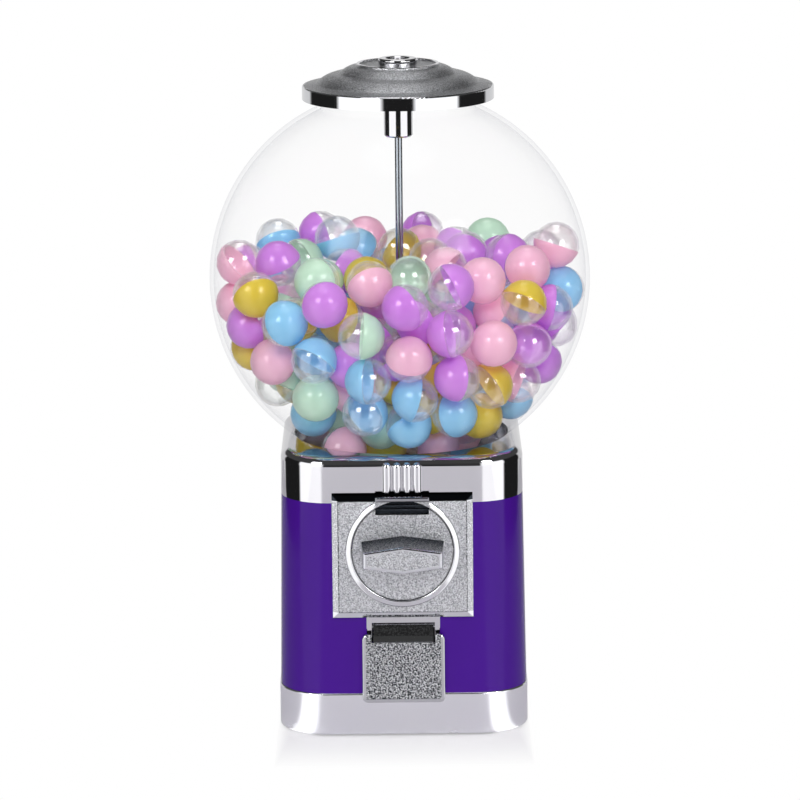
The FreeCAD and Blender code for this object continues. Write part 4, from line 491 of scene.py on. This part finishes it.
def turned_shells(name, centres, crowns):
    """Half shells, one at each centre: a profile of distance from the axis and height along it, down the
    outside from the crown, over the band and up the inside, goes round the axis in equal steps, and one point
    at each end closes the crowns."""
    sides = capsule_sides
    outside = np.radians([72.0, 52.0, 31.0, 12.0])
    inside = np.radians([25.0, 60.0])
    hollow = capsule_radius - capsule_wall
    proud = capsule_radius + band_proud
    away = np.concatenate([capsule_radius * np.cos(outside), [proud, proud, hollow], hollow * np.cos(inside)])
    rise = np.concatenate([capsule_radius * np.sin(outside), [band_height, parting, parting],
                           hollow * np.sin(inside)])
    angle = np.arange(sides) * 2.0 * np.pi / sides
    rings = np.stack([np.outer(away, np.cos(angle)), np.outer(away, np.sin(angle)),
                      np.repeat(rise[:, None], sides, axis=1)], axis=2).reshape(-1, 3)
    shell = np.concatenate([[[0.0, 0.0, capsule_radius]], rings, [[0.0, 0.0, hollow]]])
    sideways = np.cross(crowns, np.eye(3)[np.argmin(np.abs(crowns), axis=1)])
    sideways /= np.linalg.norm(sideways, axis=1, keepdims=True)
    frames = np.stack([sideways, np.cross(crowns, sideways), crowns], axis=1)
    points = centres[:, None, :] + np.einsum("vk,skx->svx", shell, frames)
    ring, step = np.meshgrid(np.arange(len(away) - 1), np.arange(sides), indexing="ij")
    here, beside = 1 + ring * sides + step, 1 + ring * sides + (step + 1) % sides
    walls = np.stack([here, here + sides, beside + sides, beside], axis=2).reshape(-1, 4)
    step, after = np.arange(sides), (np.arange(sides) + 1) % sides
    last = len(shell) - 1
    crown = np.stack([np.zeros_like(step), 1 + step, 1 + after], axis=1)
    hollow_crown = np.stack([np.full_like(step, last), last - sides + after, last - sides + step], axis=1)
    starts = np.arange(len(centres))[:, None, None] * len(shell)
    faces = (walls + starts).reshape(-1, 4).tolist()
    faces += (crown + starts).reshape(-1, 3).tolist() + (hollow_crown + starts).reshape(-1, 3).tolist()
    mesh = bpy.data.meshes.new(name)
    mesh.from_pydata(points.reshape(-1, 3).tolist(), [], faces)
    mesh.polygons.foreach_set("use_smooth", np.ones(len(faces), dtype=bool))
    mesh.set_sharp_from_angle(angle=sharp_from)
    piece = bpy.data.objects.new(name, mesh)
    bpy.context.scene.collection.objects.link(piece)
    return piece


def capsule_finish(name, colour, deep, clearness):
    """Tinted glossy plastic that lets light and some of what is behind it through, least at its edges."""
    light_through, glow_share = 0.7, 0.3
    material, tree, shader = finish(name, Roughness=0.28, IOR=plastic_ior, Coat_Weight=0.5,
                                    Coat_Roughness=0.09)
    shade = tint(tree, cloudy(tree, place_of(tree), per_metre=55.0), deep, colour)
    feed(tree, shader.inputs["Base Color"], shade)
    facing = add(tree, "LayerWeight", Blend=0.35)["Facing"]
    solid = between(tree, facing, 0.0, 0.8, 1.0 - clearness, 1.0)
    rays = add(tree, "LightPath")
    soft_ray = sums(tree, "MAXIMUM", rays["Is Shadow Ray"], rays["Is Diffuse Ray"])
    glow = add(tree, "BsdfTranslucent", Color=shade)["BSDF"]
    tinted = add(tree, "BsdfTransparent", Color=(*colour, 1.0))["BSDF"]
    seen = blend_of(tree, solid, tinted, blend_of(tree, glow_share, shader.outputs[0], glow))
    show(tree, blend_of(tree, sums(tree, "MULTIPLY", soft_ray, light_through), seen, tinted))
    return material


milk_power = 3.0
cap_finish, tree, shader = finish("clear_cap", Roughness=0.08, IOR=plastic_ior)
cloud = cloudy(tree, place_of(tree), per_metre=55.0)
feed(tree, shader.inputs["Base Color"], tint(tree, cloud, (0.90, 0.905, 0.91), (0.97, 0.97, 0.975)))
facing = add(tree, "LayerWeight", Blend=0.5)["Facing"]
milky = between(tree, sums(tree, "POWER", facing, milk_power), 0.0, 1.0, 0.02, 0.5)
sheen = between(tree, facing, 0.0, 1.0, 0.04, 0.26)
film = add(tree, "BsdfTransparent", Color=(0.995, 0.995, 0.995, 1.0))["BSDF"]
gloss = add(tree, "BsdfGlossy", Roughness=0.13, Color=bright_white)["BSDF"]
seen = blend_of(tree, sheen, blend_of(tree, milky, film, shader.outputs[0]), gloss)
show(tree, blend_of(tree, add(tree, "LightPath")["Is Shadow Ray"], seen, film))


def place_capsules(name, node, body, material):
    """Light half shells in the place of a CAD node's, riding with its body."""
    piece = turned_shells(name, *half_shells(node))
    piece.data.materials.append(material)
    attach(piece, body)
    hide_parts(node)


cup_colours = {
    "blue": ((0.40, 0.76, 0.98), (0.35, 0.71, 0.96), 0.12),
    "green": ((0.72, 0.93, 0.77), (0.66, 0.88, 0.72), 0.14),
    "pink": ((1.0, 0.68, 0.82), (0.99, 0.61, 0.77), 0.14),
    "purple": ((0.80, 0.37, 0.92), (0.72, 0.29, 0.85), 0.14),
    "yellow": ((0.88, 0.76, 0.12), (0.84, 0.64, 0.08), 0.22),
}
cup_finishes = {colour: capsule_finish(colour + "_cup", *look) for colour, look in cup_colours.items()}
for colour, material in cup_finishes.items():
    place_capsules(colour + "_capsule_cups", "capsule_cups_" + colour, "cabinet",
                   material)
place_capsules("clear_capsule_caps", "capsule_caps", "cabinet", cap_finish)
place_capsules("wheel_cups", "wheel_capsule_cups", "wheel", cup_finishes["pink"])
place_capsules("wheel_caps", "wheel_capsule_caps", "wheel", cap_finish)

# Lid and lock
# A stepped casting with a sandy texture on its slopes and a polished upright rim. The lock's barrel goes
# down through it, and its plug screws on to the rod.
lid_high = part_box("lid")[1]
rim_start, rim_full = lid_high.x - 0.0014, lid_high.x - 0.0006
ring_level = lid_high.z - 0.0004
lid_finish, tree, shader = finish("sandy_lid", Metallic=1.0)
point = place_of(tree)
axes = axes_of(tree, point)
off_rim = between(tree, length_of(tree, axes["X"], axes["Y"]), rim_start, rim_full, 1.0, 0.0)
off_ring = sums(tree, "LESS_THAN", axes["Z"], ring_level)
sandy(tree, shader, point, sums(tree, "MINIMUM", off_rim, off_ring))
dress(lid_finish, "lid")
dress(mirror, "lock_barrel", "lock_plug")

# Studio surround
# A white room round the table. What the polished pieces mirror of it has bright screens with dark gaps
# between them, as in a product studio; bearings count from the front, alike to both sides.
world = bpy.data.worlds.new("studio")
bpy.context.scene.world = world
world.use_nodes = True
tree = world.node_tree
way = axes_of(tree, add(tree, "TexCoord")["Generated"])
degree = 180.0 / math.pi
half_turn = 180.0
screen_blur = 3.0
to_front = sums(tree, "MULTIPLY", way["Y"], -1.0)
turn = sums(tree, "MULTIPLY", sums(tree, "ARCTAN2", sums(tree, "ABSOLUTE", way["X"]), to_front), degree)
lift = sums(tree, "MULTIPLY", sums(tree, "ARCSINE", way["Z"]), degree)


def steps(tree, value, *stops):
    """A grey level that runs straight between stops of (degrees, level), over half a turn."""
    ramp = tree.nodes.new("ShaderNodeValToRGB")
    for degrees, _ in stops[2:]:
        ramp.color_ramp.elements.new(degrees / half_turn)
    for element, (degrees, level) in zip(ramp.color_ramp.elements, stops):
        element.position = degrees / half_turn
        element.color = (level, level, level, 1.0)
    feed(tree, ramp.inputs["Fac"], sums(tree, "DIVIDE", value, half_turn))
    return ramp.outputs["Color"]


def screen(tree, bearing, half_width, height, half_height, level):
    """A lit screen in what is mirrored, with its middle at a bearing and a height in degrees: this level
    within its half sizes, dark outside."""
    across = between(tree, apart(tree, turn, bearing), half_width, half_width + screen_blur, 1.0, 0.0)
    upright = between(tree, apart(tree, lift, height), half_height, half_height + screen_blur, 1.0, 0.0)
    return chain(tree, "MULTIPLY", across, upright, level)


dark, full, rear = 0.01, 1.0, 0.5
wall_level, upper_level, ceiling_level = 1.6, 0.07, 1.9
plain_light = 0.4
walls = steps(tree, turn, (0.0, dark), (17.0, dark), (22.0, full), (74.0, full), (79.0, dark), (127.0, dark),
              (133.0, rear))
brim = between(tree, turn, 110.0, 140.0, 18.0, 12.0)
above = between(tree, sums(tree, "SUBTRACT", lift, brim), 0.0, 6.0, 0.0, 1.0)
low = chain(tree, "MULTIPLY", walls, wall_level, sums(tree, "SUBTRACT", 1.0, above))
high = sums(tree, "MULTIPLY", above, upper_level)
ceiling = between(tree, lift, 70.0, 78.0, 0.0, ceiling_level)
front_wall = screen(tree, bearing=0.0, half_width=19.0, height=12.0, half_height=12.0, level=0.03)
side_lamps = screen(tree, bearing=36.0, half_width=10.0, height=30.0, half_height=8.0, level=14.0)
back_lamp = screen(tree, bearing=180.0, half_width=17.0, height=60.0, half_height=7.0, level=3.2)
mirrored = chain(tree, "ADD", low, ceiling, high, front_wall, side_lamps, back_lamp)
glint = sums(tree, "MULTIPLY", add(tree, "LightPath")["Is Glossy Ray"],
             sums(tree, "SUBTRACT", mirrored, plain_light))
level = sums(tree, "MAXIMUM", sums(tree, "ADD", glint, plain_light), seen_plainly(tree))
grey = add(tree, "CombineColor", Red=level, Green=level, Blue=level)["Color"]
feed(tree, tree.nodes["Background"].inputs["Color"], grey)

# Table
# A sheet of white paper under the feet. It is seen as white but for the shadow close to the base, and the
# polished walls of the base mirror a bright card that lies on it to either side.
base_low, base_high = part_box("base_tray")
table_half, table_front, table_back, table_level = 0.58, -1.15, 0.6, -0.0002
shadow_reach, shadow_white = 0.065, 0.4
side_start, side_full = base_high.x - 0.012, base_high.x + 0.002
base_corner = 0.032
card_light, card_blur = 0.75, 4.0
card_glow = 1.7
rim = [(-table_half, table_front, table_level), (table_half, table_front, table_level),
       (table_half, table_back, table_level), (-table_half, table_back, table_level)]
table_mesh = bpy.data.meshes.new("table")
table_mesh.from_pydata(rim, [], [range(len(rim))])
table = bpy.data.objects.new("table", table_mesh)
bpy.context.scene.collection.objects.link(table)
table_finish, tree, shader = finish("white_table", Base_Color=(0.72, 0.705, 0.745, 1.0), Roughness=0.6,
                                    Specular_IOR_Level=0.2)
axes = axes_of(tree, place_of(tree))
aside = sums(tree, "ABSOLUTE", axes["X"])
off_x = sums(tree, "MAXIMUM", sums(tree, "SUBTRACT", aside, base_high.x), 0.0)
off_y = sums(tree, "MAXIMUM", sums(tree, "SUBTRACT", sums(tree, "ABSOLUTE", axes["Y"]), base_high.y), 0.0)
end_on = between(tree, off_y, 0.0, shadow_reach, shadow_white, 1.0)
at_side = between(tree, aside, side_start, side_full, 0.0, 1.0)
white = sums(tree, "MULTIPLY", sums(tree, "MAXIMUM", end_on, at_side), seen_plainly(tree))
beside = sums(tree, "SUBTRACT", aside, base_high.x - base_corner)
before = sums(tree, "SUBTRACT", base_low.y + base_corner, axes["Y"])
bearing = sums(tree, "MULTIPLY", sums(tree, "ARCTAN2", beside, before), degree)
mirror_ray = add(tree, "LightPath")["Is Glossy Ray"]
card_end = between(tree, length_of(tree, off_x, off_y), 0.1, 0.4, 57.0, 71.0)
card = chain(tree, "MULTIPLY", between(tree, bearing, 20.0, 25.0, 0.0, card_light),
             between(tree, sums(tree, "SUBTRACT", bearing, card_end), 0.0, card_blur, 1.0, 0.0), mirror_ray)
strength = between(tree, mirror_ray, 0.0, 1.0, 1.0, card_glow)
paper = add(tree, "Emission", Color=bright_white, Strength=strength)["Emission"]
show(tree, blend_of(tree, sums(tree, "MAXIMUM", white, card), shader.outputs[0], paper))
table_mesh.materials.append(table_finish)


# Lamps and camera
# Two large soft lamps, one overhead and one over the camera, that light the pieces but are not mirrored:
# the screens stand for them there. The camera stands where the photograph was taken from.
def soft_lamp(name, place, target, size, watts):
    """An oblong lamp at a place, turned to face a target."""
    lamp = bpy.data.lights.new(name, "AREA")
    lamp.shape = "RECTANGLE"
    lamp.size, lamp.size_y = size
    lamp.energy = watts
    holder = bpy.data.objects.new(name, lamp)
    bpy.context.scene.collection.objects.link(holder)
    away = np.array(place) - np.array(target)
    heading = math.atan2(away[0], -away[1])
    tilt = math.atan2(math.hypot(away[0], away[1]), away[2])
    holder.location = place
    holder.rotation_euler = (tilt, 0.0, heading)
    holder.visible_glossy = False
    holder.visible_transmission = False


machine_middle = (0.0, 0.0, 0.2)
soft_lamp("top_lamp", place=(0.0, -0.2, 1.7), target=machine_middle, size=(1.2, 1.0), watts=8.0)
soft_lamp("front_lamp", place=(0.0, -2.6, 1.6), target=machine_middle, size=(1.1, 0.8), watts=52.0)

look_down, look_aside = math.radians(12.2), math.radians(-0.58)
camera_data = bpy.data.cameras.new("photo_camera")
camera_data.sensor_width = 36.0
camera_data.lens = 187.6
camera = bpy.data.objects.new("photo_camera", camera_data)
bpy.context.scene.collection.objects.link(camera)
camera.location = (-0.00065, -2.6, 0.762)
camera.rotation_mode = "ZYX"
camera.rotation_euler = (math.pi / 2 - look_down, 0.0, look_aside)
bpy.context.scene.camera = camera

bpy.context.scene.view_settings.view_transform = "Standard"
bpy.context.scene.cycles.transparent_max_bounces = 48
bpy.context.scene.cycles.max_bounces = 16
